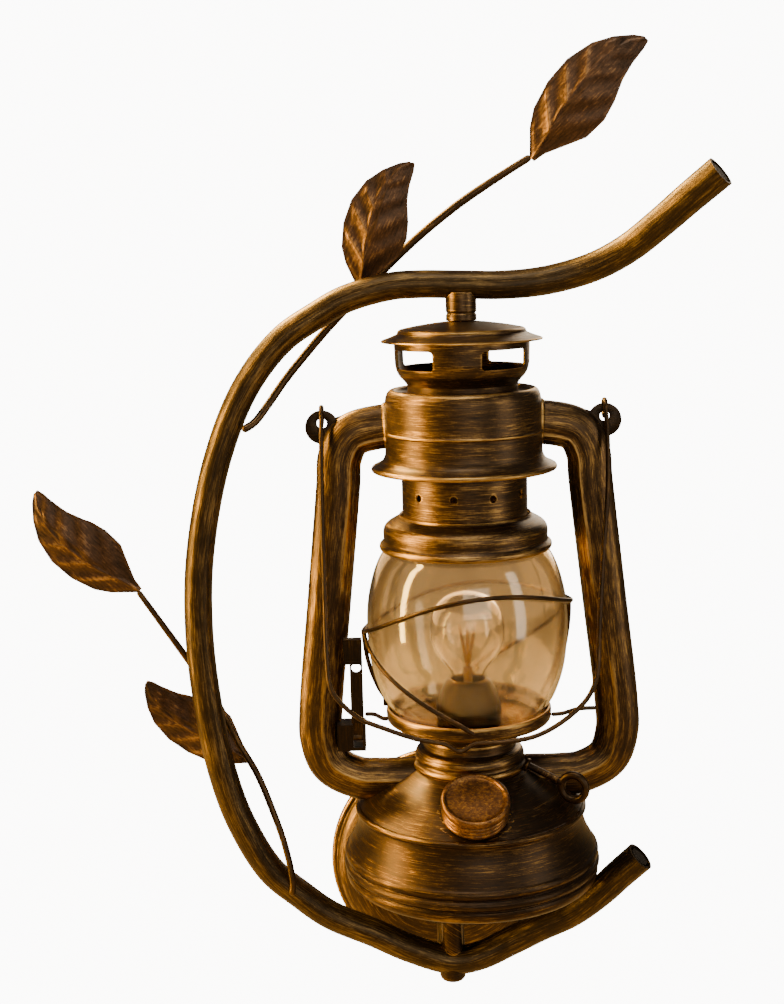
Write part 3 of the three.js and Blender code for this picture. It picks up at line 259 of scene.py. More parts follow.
def moulded(name, colour, speck, roughness):
    material, node, shader, link = new_material(name)
    place = node("ShaderNodeTexCoord")["Object"]
    sizes = {"Vector": place, "Scale": 1 / (GRAIN_MM * MM), "Detail": 2.0}
    grain = node("ShaderNodeTexNoise", inputs=sizes)["Fac"]
    ramp = node("ShaderNodeValToRGB", inputs={"Fac": grain}, stops=[(0.3, colour), (0.75, speck)])
    link(ramp["Color"], shader.inputs["Base Color"])
    shader.inputs["Roughness"].default_value = roughness
    bump = {"Height": grain, "Strength": 0.15, "Distance": 0.05 * MM}
    link(node("ShaderNodeBump", inputs=bump)["Normal"], shader.inputs["Normal"])
    return material


LANTERN = brushed_bronze("lantern_brushed_bronze")
TANK = brushed_bronze("tank_brushed_bronze", gold="#9c7c48", middle="#3a2c1e", dark="#17110c",
                      wear=0.3, blotch_mm=20.0, edge_gold=0.36)
TUBE = brushed_bronze("side_tube_brushed_bronze", streak_mm=0.36)
BRANCH = brushed_bronze("branch_brushed_bronze", gold="#8f784e", middle="#413524", dark="#1c1710",
                        wear=0.3, streak_mm=0.5, roughness=0.36)
TWIG = brushed_bronze("twig_brushed_bronze", gold="#8e7148", middle="#483825", dark="#221a12",
                      wear=0.25)
LEAF = brushed_bronze("leaf_brushed_bronze", gold="#a8865e", middle="#594537", dark="#2c221b",
                      wear=0.27, edge_gold=0.3, blotch_mm=9.0, streak_mm=0.9, roughness=0.42)
WIRE = brushed_bronze("wire_brushed_bronze", gold="#856840", middle="#3e3021", dark="#1e1710",
                      wear=0.22)
# Burner bronze: a darker copy of the brushed bronze, its dark colours painted shade for the burner's place
# inside the globe
BURNER_PAINTED_SHADE = brushed_bronze("burner_bronze_painted_shade", gold="#6e5532", middle="#271d13", dark="#120d09",
                        wear=0.22)
FILLER_CAP = brushed_bronze("filler_cap_brushed_bronze", gold="#b98a4c", middle="#70502f",
                            dark="#2b1d12", wear=0.34, blotch_mm=5.0)
LEVER = brushed_bronze("lever_brushed_bronze", gold="#6b5434", middle="#31261a", dark="#17110c",
                       wear=0.12)
FITTING = brushed_bronze("fitting_brushed_bronze", gold="#6b5434", middle="#31261a", dark="#17110c",
                         wear=0.14, stroked=False)
DARK = base_paint("dark_base_paint")
GLOBE = clear_glass("globe_pressed_glass", "#fcf4e4", roughness=0.08, wave_mm=22.0)
BULB = clear_glass("bulb_blown_glass", "#fefcf8", roughness=0.01, wave_mm=12.0)
ZINC = plated("zinc_plated_steel", "#b9b8b0", "#8a8880", roughness=0.35)
BRASS = plated("brass_plated_steel", "#cfa65c", "#8f6a30", roughness=0.3)
PLASTIC = moulded("holder_phenolic", "#131210", "#24221e", roughness=0.5)
FILAMENT = moulded("filament_coat", "#7d6138", "#a08250", roughness=0.4)


# Pieces from meshes

WORN_BEND = 0.7               # faces that meet at this angle, in radians, are worn to the full


def add_object(data, name="helper"):
    thing = bpy.data.objects.new(name, data)
    bpy.context.scene.collection.objects.link(thing)
    return thing


def new_mesh(name, verts, faces, edges=()):
    mesh = bpy.data.meshes.new(name)
    mesh.from_pydata(verts, edges, faces)
    return mesh


def finish_piece(mesh, name, material, *nodes, body=None):
    """Makes the object, smooths all but its sharp edges, hangs it on its body and hides the nodes it stands
    for.
    """
    piece = add_object(mesh, name)
    mesh.materials.clear()
    mesh.materials.append(material)
    mesh.polygons.foreach_set("use_smooth", [True] * len(mesh.polygons))
    mesh.set_sharp_from_angle(angle=SHARP_ANGLE)
    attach(piece, BODY_OF[body or nodes[0]])
    if nodes:
        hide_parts(*nodes)
    return piece


def paint(mesh, strokes, edges):
    """Stores where the brush ran, in millimetres, and how raised each point is."""
    for name in ("stroke", "edge"):
        if name in mesh.attributes:
            mesh.attributes.remove(mesh.attributes[name])
    stroke = mesh.attributes.new("stroke", "FLOAT_VECTOR", "POINT")
    stroke.data.foreach_set("vector", [c * MM for s in strokes for c in s])
    mesh.attributes.new("edge", "FLOAT", "POINT").data.foreach_set("value", edges)


def worn_bends(mesh, angle):
    """How worn each point is, from 0 to 1, by the largest angle between faces that meet there."""
    work = bmesh.new()
    work.from_mesh(mesh)
    bends = [max((angle(e, 0.0) for e in v.link_edges), default=0.0) for v in work.verts]
    work.free()
    return [max(0.0, min(1.0, bend / WORN_BEND)) for bend in bends]


def paint_plain(mesh, stretch=(1.0, 1.0, ALONG_STRETCH)):
    """Paints a mesh in straight strokes, worn where its faces turn sharply."""
    strokes = [[c / MM * s for c, s in zip(v.co, stretch)] for v in mesh.vertices]
    paint(mesh, strokes, worn_bends(mesh, bmesh.types.BMEdge.calc_face_angle))


def baked(thing):
    """The mesh that an object's modifiers make; the object itself is thrown away."""
    bpy.context.view_layer.update()
    depsgraph = bpy.context.evaluated_depsgraph_get()
    mesh = bpy.data.meshes.new_from_object(thing.evaluated_get(depsgraph))
    bpy.data.objects.remove(thing)
    return mesh


def combined(mesh, operation, cutters):
    """Cuts closed meshes out of a mesh, or joins them to it."""
    body = add_object(mesh)
    helpers = [add_object(cutter) for cutter in cutters]
    for helper in helpers:
        modifier = body.modifiers.new(operation, "BOOLEAN")
        modifier.operation = operation
        modifier.solver = "EXACT"
        modifier.object = helper
    result = baked(body)
    for helper in helpers:
        bpy.data.objects.remove(helper)
    return result


def outward(mesh):
    work = bmesh.new()
    work.from_mesh(mesh)
    bmesh.ops.recalc_face_normals(work, faces=work.faces)
    work.to_mesh(mesh)
    work.free()
    return mesh


def skin(loops, name, ringed=True):
    """A mesh over loops of points, in millimetres; ringed joins the last loop to the first,
    otherwise the ends are closed."""
    count = len(loops[0])
    verts = [point * MM for loop in loops for point in loop]
    faces = []
    for i in range(len(loops) if ringed else len(loops) - 1):
        one, two = i * count, (i + 1) % len(loops) * count
        for k in range(count):
            faces.append((one + k, one + (k + 1) % count, two + (k + 1) % count, two + k))
    if not ringed:
        faces += [tuple(range(count)), tuple(range(len(verts) - count, len(verts)))]
    return outward(new_mesh(name, verts, faces))


# Outlines

CENTRIPETAL = 0.5


def spline(points, step, closed=False):
    """A centripetal Catmull-Rom curve through points, as points about step apart."""
    if closed:
        ends = [points[-1], *points, points[0], points[1]]
    else:
        ends = [points[0] * 2 - points[1], *points, points[-1] * 2 - points[-2]]
    curve = []
    for i in range(1, len(ends) - 2):
        p0, p1, p2, p3 = ends[i - 1:i + 3]
        t = [0.0]
        for a, b in ((p0, p1), (p1, p2), (p2, p3)):
            t.append(t[-1] + max((b - a).length, TINY) ** CENTRIPETAL)
        count = max(1, round((p2 - p1).length / step))
        for k in range(count):
            u = t[1] + (t[2] - t[1]) * k / count
            a1 = p0.lerp(p1, (u - t[0]) / (t[1] - t[0]))
            a2 = p1.lerp(p2, (u - t[1]) / (t[2] - t[1]))
            a3 = p2.lerp(p3, (u - t[2]) / (t[3] - t[2]))
            b1 = a1.lerp(a2, (u - t[0]) / (t[2] - t[0]))
            b2 = a2.lerp(a3, (u - t[1]) / (t[3] - t[1]))
            curve.append(b1.lerp(b2, (u - t[1]) / (t[2] - t[1])))
    return curve if closed else [*curve, points[-1].copy()]


def flow(runs, step=CURVE_STEP):
    """Joins runs of outline points; each run is a smooth curve and runs meet at corners."""
    outline = []
    for run in runs:
        points = [Vector(p) for p in run]
        smooth = spline(points, 2 * step if len(points) == 2 else step)
        meets = outline and (outline[-1] - smooth[0]).length < TINY
        outline.extend(smooth[1:] if meets else smooth)
    return outline


NEARLY_STRAIGHT = math.radians(165)
CORNER_REACH = 0.45           # a rounded corner takes up to this share of the line beside it
CORNER_STEPS = 4


def softened(outline, radius):
    """Rounds an outline's corners by about radius."""
    result = [outline[0]]
    for before, point, after in zip(outline, outline[1:], outline[2:]):
        back, ahead = before - point, after - point
        if min(back.length, ahead.length) < TINY or back.angle(ahead) > NEARLY_STRAIGHT:
            result.append(point)
            continue
        start = point + back.normalized() * min(radius, back.length * CORNER_REACH)
        end = point + ahead.normalized() * min(radius, ahead.length * CORNER_REACH)
        for k in range(CORNER_STEPS + 1):
            u = k / CORNER_STEPS
            result.append(start.lerp(point, u).lerp(point.lerp(end, u), u))
    return [*result, outline[-1]]


def walled(outline, wall):
    """Closes an open outline with a second line, a wall's thickness to the left of its travel."""
    inner = []
    last = len(outline) - 1
    for i, point in enumerate(outline):
        ahead = (outline[min(i + 1, last)] - outline[max(i - 1, 0)]).normalized()
        inner.append(point + Vector((-ahead.y, ahead.x)) * wall)
    return [*outline, *reversed(inner)]


EDGE_REACH = 1.1              # millimetres of outline over which a bulge is measured
FULL_BULGE = 0.9              # an outline that turns this far there is worn to the full
END_TURN = 0.5                # taken for an end, which has no second side


def raised_edges(outline):
    """How sharply the outline bulges outwards at each point, from 0 to 1."""
    result = []
    last = len(outline) - 1
    for i, point in enumerate(outline):
        back = ahead = i
        while back > 0 and (outline[back] - point).length < EDGE_REACH:
            back -= 1
        while ahead < last and (outline[ahead] - point).length < EDGE_REACH:
            ahead += 1
        arriving, leaving = point - outline[back], outline[ahead] - point
        turn = END_TURN
        if min(arriving.length, leaving.length) > TINY:
            turn = math.atan2(arriving.x * leaving.y - arriving.y * leaving.x, arriving.dot(leaving))
        result.append(max(0.0, min(1.0, turn / FULL_BULGE)))
    return result


AXIS_RADIUS = 1e-4            # a point this near the axis lies on it


def revolved(outline, name, sides=ROUND_SIDES, place=AT_LAMP):
    """Turns a closed outline of (radius, height) round the Z axis of its place."""
    edges = raised_edges(outline)
    verts, faces, strokes, wears, rings = [], [], [], [], []
    travelled = 0.0
    for i, point in enumerate(outline):
        travelled += (point - outline[i - 1]).length if i else 0.0
        around = sides if point.x > AXIS_RADIUS else 1
        rings.append(range(len(verts), len(verts) + around))
        across = max(point.x, STROKE_LEAST) * AROUND_STRETCH
        for k in range(around):
            turn = 2 * math.pi * k / sides
            c, s = math.cos(turn), math.sin(turn)
            verts.append(place @ Vector((point.x * c, point.x * s, point.y)) * MM)
            strokes.append((across * c, across * s, travelled))
            wears.append(edges[i])
    for one, two in zip(rings, [*rings[1:], rings[0]]):
        for k in range(sides if len(one) + len(two) > 2 else 0):
            after = k + 1
            corners = (one[k % len(one)], one[after % len(one)], two[after % len(two)], two[k % len(two)])
            faces.append([v for j, v in enumerate(corners) if v not in corners[:j]])
    mesh = new_mesh(name, verts, faces)
    paint(mesh, strokes, wears)
    return outward(mesh)


def on_box(node, runs):
    """Turns runs of (share of half width, share of height) into millimetres on a node's box."""
    low, high = node_box(node)
    radius, foot, height = (high.y - low.y) / 2, low.z - LAMP.z, high.z - low.z
    return [[(r * radius, foot + z * height) for r, z in run] for run in runs]


def turned(node, runs, material, wall=SHEET, soften=0.4, sides=ROUND_SIDES):
    """A turned sheet piece that stands for a node on the lantern's axis."""
    outline = walled(softened(flow(on_box(node, runs)), soften), wall)
    finish_piece(revolved(outline, node + "_look", sides), node + "_look", material, node)


def drum(radius, low, high, place, sides=SMALL_SIDES):
    """A plain cylinder along Z of its place, to cut with or to join."""
    corners = [Vector(corner) for corner in ((0, low), (radius, low), (radius, high), (0, high))]
    return revolved(corners, "drum", sides, place)


# Rods along lines, made with Geometry Nodes

def make_rod_tree():
    """Sweeps a round rod along each line. A point's width attribute scales the radius; the
    stroke attribute runs round and along the rod."""
    tree = bpy.data.node_groups.new("rods_along_lines", "GeometryNodeTree")
    kinds = {"Lines": "Geometry", "Radius": "Float", "Sides": "Int", "Closed Ends": "Bool",
             "Worn": "Float", "Finish": "Material"}
    sockets = {}
    for name, kind in kinds.items():
        made = tree.interface.new_socket(name, in_out="INPUT", socket_type="NodeSocket" + kind)
        sockets[name] = made.identifier
    tree.interface.new_socket("Rods", in_out="OUTPUT", socket_type="NodeSocketGeometry")
    node = partial(add_node, tree)
    given = node("NodeGroupInput")
    line = node("GeometryNodeMeshToCurve", inputs={"Mesh": given["Lines"]})["Curve"]
    along = node("GeometryNodeSplineParameter")["Length"]
    line = node("GeometryNodeStoreNamedAttribute", {"data_type": "FLOAT"},
                {"Geometry": line, "Name": "along", "Value": along})["Geometry"]
    section = node("GeometryNodeCurvePrimitiveCircle",
                   inputs={"Resolution": given["Sides"], "Radius": given["Radius"]})["Curve"]
    round_place = node("GeometryNodeInputPosition")["Position"]
    section = node("GeometryNodeStoreNamedAttribute", {"data_type": "FLOAT_VECTOR"},
                   {"Geometry": section, "Name": "around", "Value": round_place})["Geometry"]
    width = node("GeometryNodeInputNamedAttribute", {"data_type": "FLOAT"}, {"Name": "width"})["Attribute"]
    swept = {"Curve": line, "Profile Curve": section, "Scale": width, "Fill Caps": given["Closed Ends"]}
    rod = node("GeometryNodeCurveToMesh", inputs=swept)["Mesh"]
    around = node("GeometryNodeInputNamedAttribute", {"data_type": "FLOAT_VECTOR"},
                  {"Name": "around"})["Attribute"]
    along = node("GeometryNodeInputNamedAttribute", {"data_type": "FLOAT"}, {"Name": "along"})["Attribute"]
    lengthwise = node("ShaderNodeMath", {"operation": "MULTIPLY"}, {0: along, 1: ALONG_STRETCH})["Value"]
    lengthwise = node("ShaderNodeCombineXYZ", inputs={"Z": lengthwise})["Vector"]
    stroke = node("ShaderNodeVectorMath", {"operation": "ADD"}, {0: around, 1: lengthwise})["Vector"]
    rod = node("GeometryNodeStoreNamedAttribute", {"data_type": "FLOAT_VECTOR"},
               {"Geometry": rod, "Name": "stroke", "Value": stroke})["Geometry"]
    rod = node("GeometryNodeStoreNamedAttribute", {"data_type": "FLOAT"},
               {"Geometry": rod, "Name": "edge", "Value": given["Worn"]})["Geometry"]
    rod = node("GeometryNodeRealizeInstances", inputs={"Geometry": rod})["Geometry"]
    rod = node("GeometryNodeSetMaterial", inputs={"Geometry": rod, "Material": given["Finish"]})["Geometry"]
    node("NodeGroupOutput", inputs={"Rods": rod})
    return tree, sockets


ROD_TREE, ROD_SOCKETS = make_rod_tree()


def share_at(shares, share):
    """Reads a table of (share, value) between its rows."""
    for (a, low), (b, high) in zip(shares, shares[1:]):
        if share <= b:
            return low + (high - low) * (share - a) / (b - a)
    return shares[-1][1]


END_BOWS = [math.radians(bow) for bow in (8, 25, 45, 65, 90)]      # rings of a rounded end
END_POINT = 3                 # the point that gives a rod's end its direction


def line(points, widths=((0, 1), (1, 1)), ringed=False, round_ends=0.0):
    """A rod's line: points in millimetres and how wide it is at shares of its length;
    round_ends is the radius that both its ends are rounded with."""
    shares = [share_at(widths, i / (len(points) - 1)) for i in range(len(points))]
    for _ in range(2 if round_ends else 0):
        end, ahead = points[0], (points[END_POINT] - points[0]).normalized()
        keep = next(i for i, p in enumerate(points) if (p - end).length > round_ends)
        points = [end + ahead * round_ends * (1 - math.cos(bow)) for bow in END_BOWS] + points[keep:]
        shares = [shares[0] * math.sin(bow) for bow in END_BOWS] + shares[keep:]
        points, shares = points[::-1], shares[::-1]
    return points, shares, ringed


def rod_mesh(lines, radius, material, sides=WIRE_SIDES, closed=True, worn=0.35):
    """A mesh of rods along lines; radius is theirs where a line is one wide."""
    verts, edges, widths = [], [], []
    for points, shares, ringed in lines:
        first = len(verts)
        verts += [p * MM for p in points]
        widths += shares
        edges += [(first + i, first + i + 1) for i in range(len(points) - 1)]
        if ringed:
            edges.append((len(verts) - 1, first))
    mesh = new_mesh("lines", verts, [], edges)
    mesh.attributes.new("width", "FLOAT", "POINT").data.foreach_set("value", widths)
    thing = add_object(mesh)
    modifier = thing.modifiers.new("rods", "NODES")
    modifier.node_group = ROD_TREE
    values = {"Radius": radius * MM, "Sides": sides, "Closed Ends": closed, "Worn": worn, "Finish": material}
    for name, value in values.items():
        modifier[ROD_SOCKETS[name]] = value
    result = outward(baked(thing))
    for name in ("width", "along", "around"):
        if name in result.attributes:
            result.attributes.remove(result.attributes[name])
    return result


def ring_points(radius, count, place):
    """Points round the Z axis of a place."""
    turns = [2 * math.pi * k / count for k in range(count)]
    return [place @ Vector((radius * math.cos(t), radius * math.sin(t), 0)) for t in turns]


# Cut and joined pieces

NEAR_AXIS = 1e-3
CONE_SHARE = 0.8              # how much of a point's distance from the axis moves its stroke


def paint_round(mesh):
    """Paints a turned piece after it was cut: strokes run round the lantern's axis, and only
    outward edges are worn."""
    strokes = []
    for vert in mesh.vertices:
        p = vert.co / MM - LAMP
        radius = max(math.hypot(p.x, p.y), NEAR_AXIS)
        across = max(radius, STROKE_LEAST) * AROUND_STRETCH
        strokes.append((across * p.x / radius, across * p.y / radius, p.z - radius * CONE_SHARE))
    paint(mesh, strokes, worn_bends(mesh, bmesh.types.BMEdge.calc_face_angle_signed))
    return mesh


def block(low, high, place=Matrix()):
    """A plain box between two corners, to be cut, joined or bevelled."""
    corners = [(low[0], low[1]), (high[0], low[1]), (high[0], high[1]), (low[0], high[1])]
    loops = [[place @ Vector((x, y, z)) for x, y in corners] for z in (low[2], high[2])]
    return skin(loops, "block", ringed=False)


def bevelled(mesh, width):
    """Rounds a mesh's sharp edges."""
    thing = add_object(mesh)
    modifier = thing.modifiers.new("bevel", "BEVEL")
    modifier.width = width * MM
    modifier.segments = 2
    modifier.limit_method = "ANGLE"
    modifier.angle_limit = SHARP_ANGLE
    modifier.harden_normals = False
    return baked(thing)


def thickened(mesh, wall):
    """Gives an open sheet its wall, behind its faces."""
    thing = add_object(mesh)
    modifier = thing.modifiers.new("wall", "SOLIDIFY")
    modifier.thickness = wall * MM
    modifier.offset = -1
    return outward(baked(thing))


# Turned pieces of the lantern, in shares of half width and of height

TANK_RUNS = [
    [(0.927, 0.008), (0.957, 0.022), (0.98, 0.05), (0.988, 0.085), (0.984, 0.115)],
    [(0.984, 0.115), (0.972, 0.125), (0.988, 0.142), (1.0, 0.165), (0.998, 0.19), (0.986, 0.206)],
    [(0.986, 0.206), (0.973, 0.216), (0.986, 0.235), (0.993, 0.262), (0.984, 0.29), (0.97, 0.304)],
    [(0.97, 0.304), (0.948, 0.35), (0.915, 0.42), (0.888, 0.5), (0.873, 0.57), (0.869, 0.615)],
    [(0.869, 0.615), (0.884, 0.622), (0.899, 0.64), (0.898, 0.662), (0.876, 0.678)],
    [(0.868, 0.676), (0.755, 0.772), (0.6, 0.88), (0.5, 0.945), (0.42, 1.0)],
]
HOOD_RUNS = [
    [(0.83, 0.025), (0.9, 0.006), (0.955, 0.0), (0.99, 0.006), (1.0, 0.03), (0.985, 0.058)],
    [(0.985, 0.058), (0.93, 0.085), (0.877, 0.13), (0.85, 0.19), (0.843, 0.24)],
    [(0.843, 0.24), (0.843, 0.45)],
    [(0.843, 0.45), (0.856, 0.46), (0.857, 0.482), (0.843, 0.495)],
    [(0.843, 0.495), (0.84, 0.7), (0.834, 0.87), (0.822, 0.93), (0.8, 0.975), (0.767, 1.0), (0.732, 0.985)],
    [(0.732, 0.985), (0.71, 0.945), (0.66, 0.933), (0.601, 0.933)],
]
BELL_RUNS = [
    [(0.962, 0.0), (0.987, 0.02), (1.0, 0.08), (0.995, 0.17), (0.965, 0.235)],
    [(0.965, 0.235), (0.953, 0.27), (0.953, 0.52)],
    [(0.953, 0.52), (0.945, 0.62), (0.915, 0.73), (0.86, 0.82), (0.81, 0.885)],
    [(0.81, 0.885), (0.78, 0.92), (0.76, 1.0)],
]
DISH_RUNS = [
    [(0.407, 0.0), (0.574, 0.0)],
    [(0.574, 0.0), (0.65, 0.09), (0.73, 0.23), (0.84, 0.4), (0.927, 0.5), (0.978, 0.55), (1.0, 0.63)],
    [(1.0, 0.63), (1.0, 0.93), (0.99, 0.98), (0.975, 0.985)],
]
NECK_RUNS = [
    [(0.88, 0.0), (0.88, 0.205)],
    [(0.88, 0.205), (0.955, 0.207), (0.99, 0.225), (1.0, 0.27), (0.988, 0.33), (0.955, 0.37)],
    [(0.955, 0.37), (0.945, 0.42), (0.958, 0.5), (0.94, 0.6), (0.9, 0.68), (0.83, 0.73), (0.808, 0.76)],
    [(0.808, 0.76), (0.802, 0.99)],
    [(0.802, 0.99), (0.36, 0.99)],
]
BURNER_RUNS = [
    [(1.0, 0.0), (1.0, 0.13)],
    [(1.0, 0.13), (1.03, 0.2), (1.08, 0.34), (1.06, 0.5), (1.0, 0.66), (0.88, 0.82), (0.74, 0.94),
     (0.6, 1.0)],
]
VENT_RUNS = [
    [(0.814, 0.0), (0.814, 0.24)],
    [(0.814, 0.24), (0.86, 0.31), (0.92, 0.38), (0.965, 0.47), (0.988, 0.58)],
    [(0.988, 0.58), (0.994, 0.8), (1.0, 1.0)],
]
CAP_RUNS = [
    [(0.995, 0.0), (1.0, 0.05), (0.985, 0.1)],
    [(0.985, 0.1), (0.9, 0.22), (0.82, 0.36)],
    [(0.82, 0.36), (0.8, 0.42), (0.79, 0.55), (0.765, 0.63)],
    [(0.765, 0.63), (0.6, 0.77), (0.4, 0.9), (0.24, 0.98), (0.094, 1.0)],
]
GLOBE_RUNS = [
    [(0.72, 0.0), (0.752, 0.025), (0.79, 0.075), (0.874, 0.155), (0.957, 0.29), (0.9935, 0.435), (1.0, 0.583),
     (0.978, 0.7), (0.92, 0.825), (0.862, 0.9), (0.815, 0.94), (0.79, 0.965), (0.786, 1.0)],
]
BULB_RUNS = [
    [(0.385, 0.0), (0.388, 0.09), (0.42, 0.175), (0.56, 0.26), (0.79, 0.36), (0.95, 0.48), (1.0, 0.61),
     (0.95, 0.76), (0.8, 0.875), (0.55, 0.955), (0.28, 0.99), (0.0, 1.0)],
]
BULB_BASE_RUNS = [
    [(0.3, 0.0), (0.33, 0.0)],
    [(0.33, 0.0), (0.9, 0.1)],
    [(0.9, 0.1), (0.96, 0.15), (1.0, 0.2), (0.96, 0.25), (0.9, 0.3), (0.96, 0.35), (1.0, 0.4), (0.96, 0.45),
     (0.9, 0.5), (0.96, 0.55), (1.0, 0.6), (0.96, 0.65), (0.9, 0.7), (0.94, 0.75), (0.94, 1.0)],
]

turned("hood", HOOD_RUNS, LANTERN)
turned("globe_cap", BELL_RUNS, LANTERN)
turned("globe_dish", DISH_RUNS, LANTERN)
turned("burner_neck", NECK_RUNS, LANTERN)
# the burner cone takes the darker bronze, painted shade inside the globe
turned("burner_cone", BURNER_RUNS, BURNER_PAINTED_SHADE, wall=0.7, sides=SMALL_SIDES)
turned("top_cap", CAP_RUNS, LANTERN, soften=0.3)
turned("globe_glass", GLOBE_RUNS, GLOBE, wall=1.3, soften=0.0)
turned("bulb_glass", BULB_RUNS, BULB, wall=0.6, soften=0.0, sides=SMALL_SIDES)
turned("bulb_base", BULB_BASE_RUNS, BRASS, wall=0.8, soften=0.0, sides=SMALL_SIDES)

# Vent ring, with four windows rounded at their corners
WINDOW_WIDTH, WINDOW_HEIGHT, WINDOW_CORNER = 25.0, 8.5, 1.7
WINDOW_MIDDLE = 246.06
WINDOW_COUNT = 4
WINDOW_TURN = math.radians(-52)
WINDOW_CORNER_STEPS = 6
WINDOW_CUT_SHARES = (0.6, 1.2)     # a window is cut between these shares of the ring's radius


def window_cutter(turn):
    """A block with round corners, through the vent ring's wall on one side."""
    half_width, half_height = WINDOW_WIDTH / 2 - WINDOW_CORNER, WINDOW_HEIGHT / 2 - WINDOW_CORNER
    outline = []
    for quarter, (x, z) in enumerate(((1, 1), (-1, 1), (-1, -1), (1, -1))):
        centre = Vector((x * half_width, z * half_height))
        for k in range(WINDOW_CORNER_STEPS + 1):
            bend = (quarter + k / WINDOW_CORNER_STEPS) * QUARTER_TURN
            outline.append(centre + Vector((math.cos(bend), math.sin(bend))) * WINDOW_CORNER)
    place = AT_LAMP @ Matrix.Rotation(turn, 4, "Z")
    low, high = node_box("vent_ring")
    radius = (high.x - low.x) / 2
    loops = [[place @ Vector((radius * share, p.x, WINDOW_MIDDLE + p.y)) for p in outline]
             for share in WINDOW_CUT_SHARES]
    return skin(loops, "window", ringed=False)


def finish_round(mesh, node, material):
    return finish_piece(paint_round(mesh), node + "_look", material, node)


vent_line = softened(flow(on_box("vent_ring", VENT_RUNS)), radius=0.3)
vent = revolved(walled(vent_line, SHEET), "vent_ring_look")
windows = [window_cutter(WINDOW_TURN + i * 2 * math.pi / WINDOW_COUNT) for i in range(WINDOW_COUNT)]
finish_round(combined(vent, "DIFFERENCE", windows), "vent_ring", LANTERN)

# Chimney collar, with a row of small air holes
COLLAR_HOLE_COUNT, COLLAR_HOLE_RADIUS, COLLAR_HOLE_HEIGHT = 10, 1.8, 185.15
COLLAR_TURN = math.radians(-102.5)
HOLE_CUT_SHARES = (0.8, 1.2)       # a hole is cut between these shares of the collar's radius
HOLE_SIDES = 24
collar_low, collar_high = node_box("chimney_collar")
COLLAR_RADIUS = (collar_high.x - collar_low.x) / 2
collar_line = [(COLLAR_RADIUS, collar_low.z - LAMP.z), (COLLAR_RADIUS, collar_high.z - LAMP.z)]
collar = revolved(walled(flow([collar_line]), SHEET), "chimney_collar_look")
air_holes = []
for i in range(COLLAR_HOLE_COUNT):
    turn = COLLAR_TURN + i * 2 * math.pi / COLLAR_HOLE_COUNT
    place = AT_LAMP @ Matrix.Translation((0, 0, COLLAR_HOLE_HEIGHT)) @ Matrix.Rotation(turn, 4, "Z")
    place = place @ Matrix.Rotation(QUARTER_TURN, 4, "Y")
    start, end = (COLLAR_RADIUS * share for share in HOLE_CUT_SHARES)
    air_holes.append(drum(COLLAR_HOLE_RADIUS, start, end, place, HOLE_SIDES))
finish_round(combined(collar, "DIFFERENCE", air_holes), "chimney_collar", LANTERN)

# Tank, with the filler cap's pocket let into its dome
FILLER = at_joint("filler_cap_turn")
POCKET_RADIUS, POCKET_WALL, NECK_HOLE_RADIUS, POCKET_HEIGHT = 15.9, 1.2, 11.8, 14.0
POCKET_CLEAR = 0.02                # keeps the cut and the cup's wall from sharing a face
tank_line = softened(flow(on_box("tank_shell", TANK_RUNS)), radius=0.35)
tank = revolved(walled(tank_line, SHEET), "tank_shell_look")
tank_full = revolved([Vector((0, tank_line[0].y)), *tank_line, Vector((0, tank_line[-1].y))], "full")
CUP_RADIUS = POCKET_RADIUS + POCKET_WALL
cup_line = [(NECK_HOLE_RADIUS, -POCKET_WALL), (CUP_RADIUS, -POCKET_WALL), (CUP_RADIUS, POCKET_HEIGHT),
            (POCKET_RADIUS, POCKET_HEIGHT), (POCKET_RADIUS, 0), (NECK_HOLE_RADIUS, 0)]
cup = revolved([Vector(p) for p in cup_line], "cup", SMALL_SIDES, FILLER)
cup = combined(cup, "INTERSECT", [tank_full])
pocket = drum(POCKET_RADIUS + POCKET_CLEAR, -POCKET_WALL / 2, POCKET_HEIGHT, FILLER)
tank = combined(combined(tank, "DIFFERENCE", [pocket]), "UNION", [cup])
finish_round(tank, "tank_shell", TANK)

# Filler cap: a screw cap with a raised rim, a dished top and three rolled rings below.
# Radius, and height along its joint's axis
CAP_WALL, CAP_STEP, CAP_SIDES, CAP_STRETCH = 1.1, 0.5, 96, (0.3, 0.3, 0.5)
FILLER_CAP_RUNS = [
    [(13.6, 0.4), (14.1, 0.4)],
    [(14.1, 0.4), (14.1, 1.3)],
    [(14.1, 1.3), (14.8, 1.7), (15.0, 2.3), (14.8, 2.9), (14.1, 3.3)],
    [(14.1, 3.3), (14.8, 3.7), (15.0, 4.3), (14.8, 4.9), (14.1, 5.3)],
    [(14.1, 5.3), (14.8, 5.7), (15.0, 6.3), (14.8, 6.9), (14.1, 7.3)],
    [(14.1, 7.3), (14.1, 8.0)],
    [(14.1, 8.0), (15.1, 8.3), (15.4, 9.0), (15.4, 10.3), (15.1, 11.2), (14.3, 11.6), (13.5, 11.5)],
    [(13.5, 11.5), (13.1, 11.0), (12.4, 10.7), (9.0, 10.5), (4.0, 10.6), (0.0, 10.7)],
]
cap_line = walled(softened(flow(FILLER_CAP_RUNS, CAP_STEP), radius=0.2), CAP_WALL)
filler_cap = revolved(cap_line, "filler_cap_look", CAP_SIDES, FILLER)
paint_plain(filler_cap, CAP_STRETCH)
finish_piece(filler_cap, "filler_cap_look", FILLER_CAP, "filler_cap")

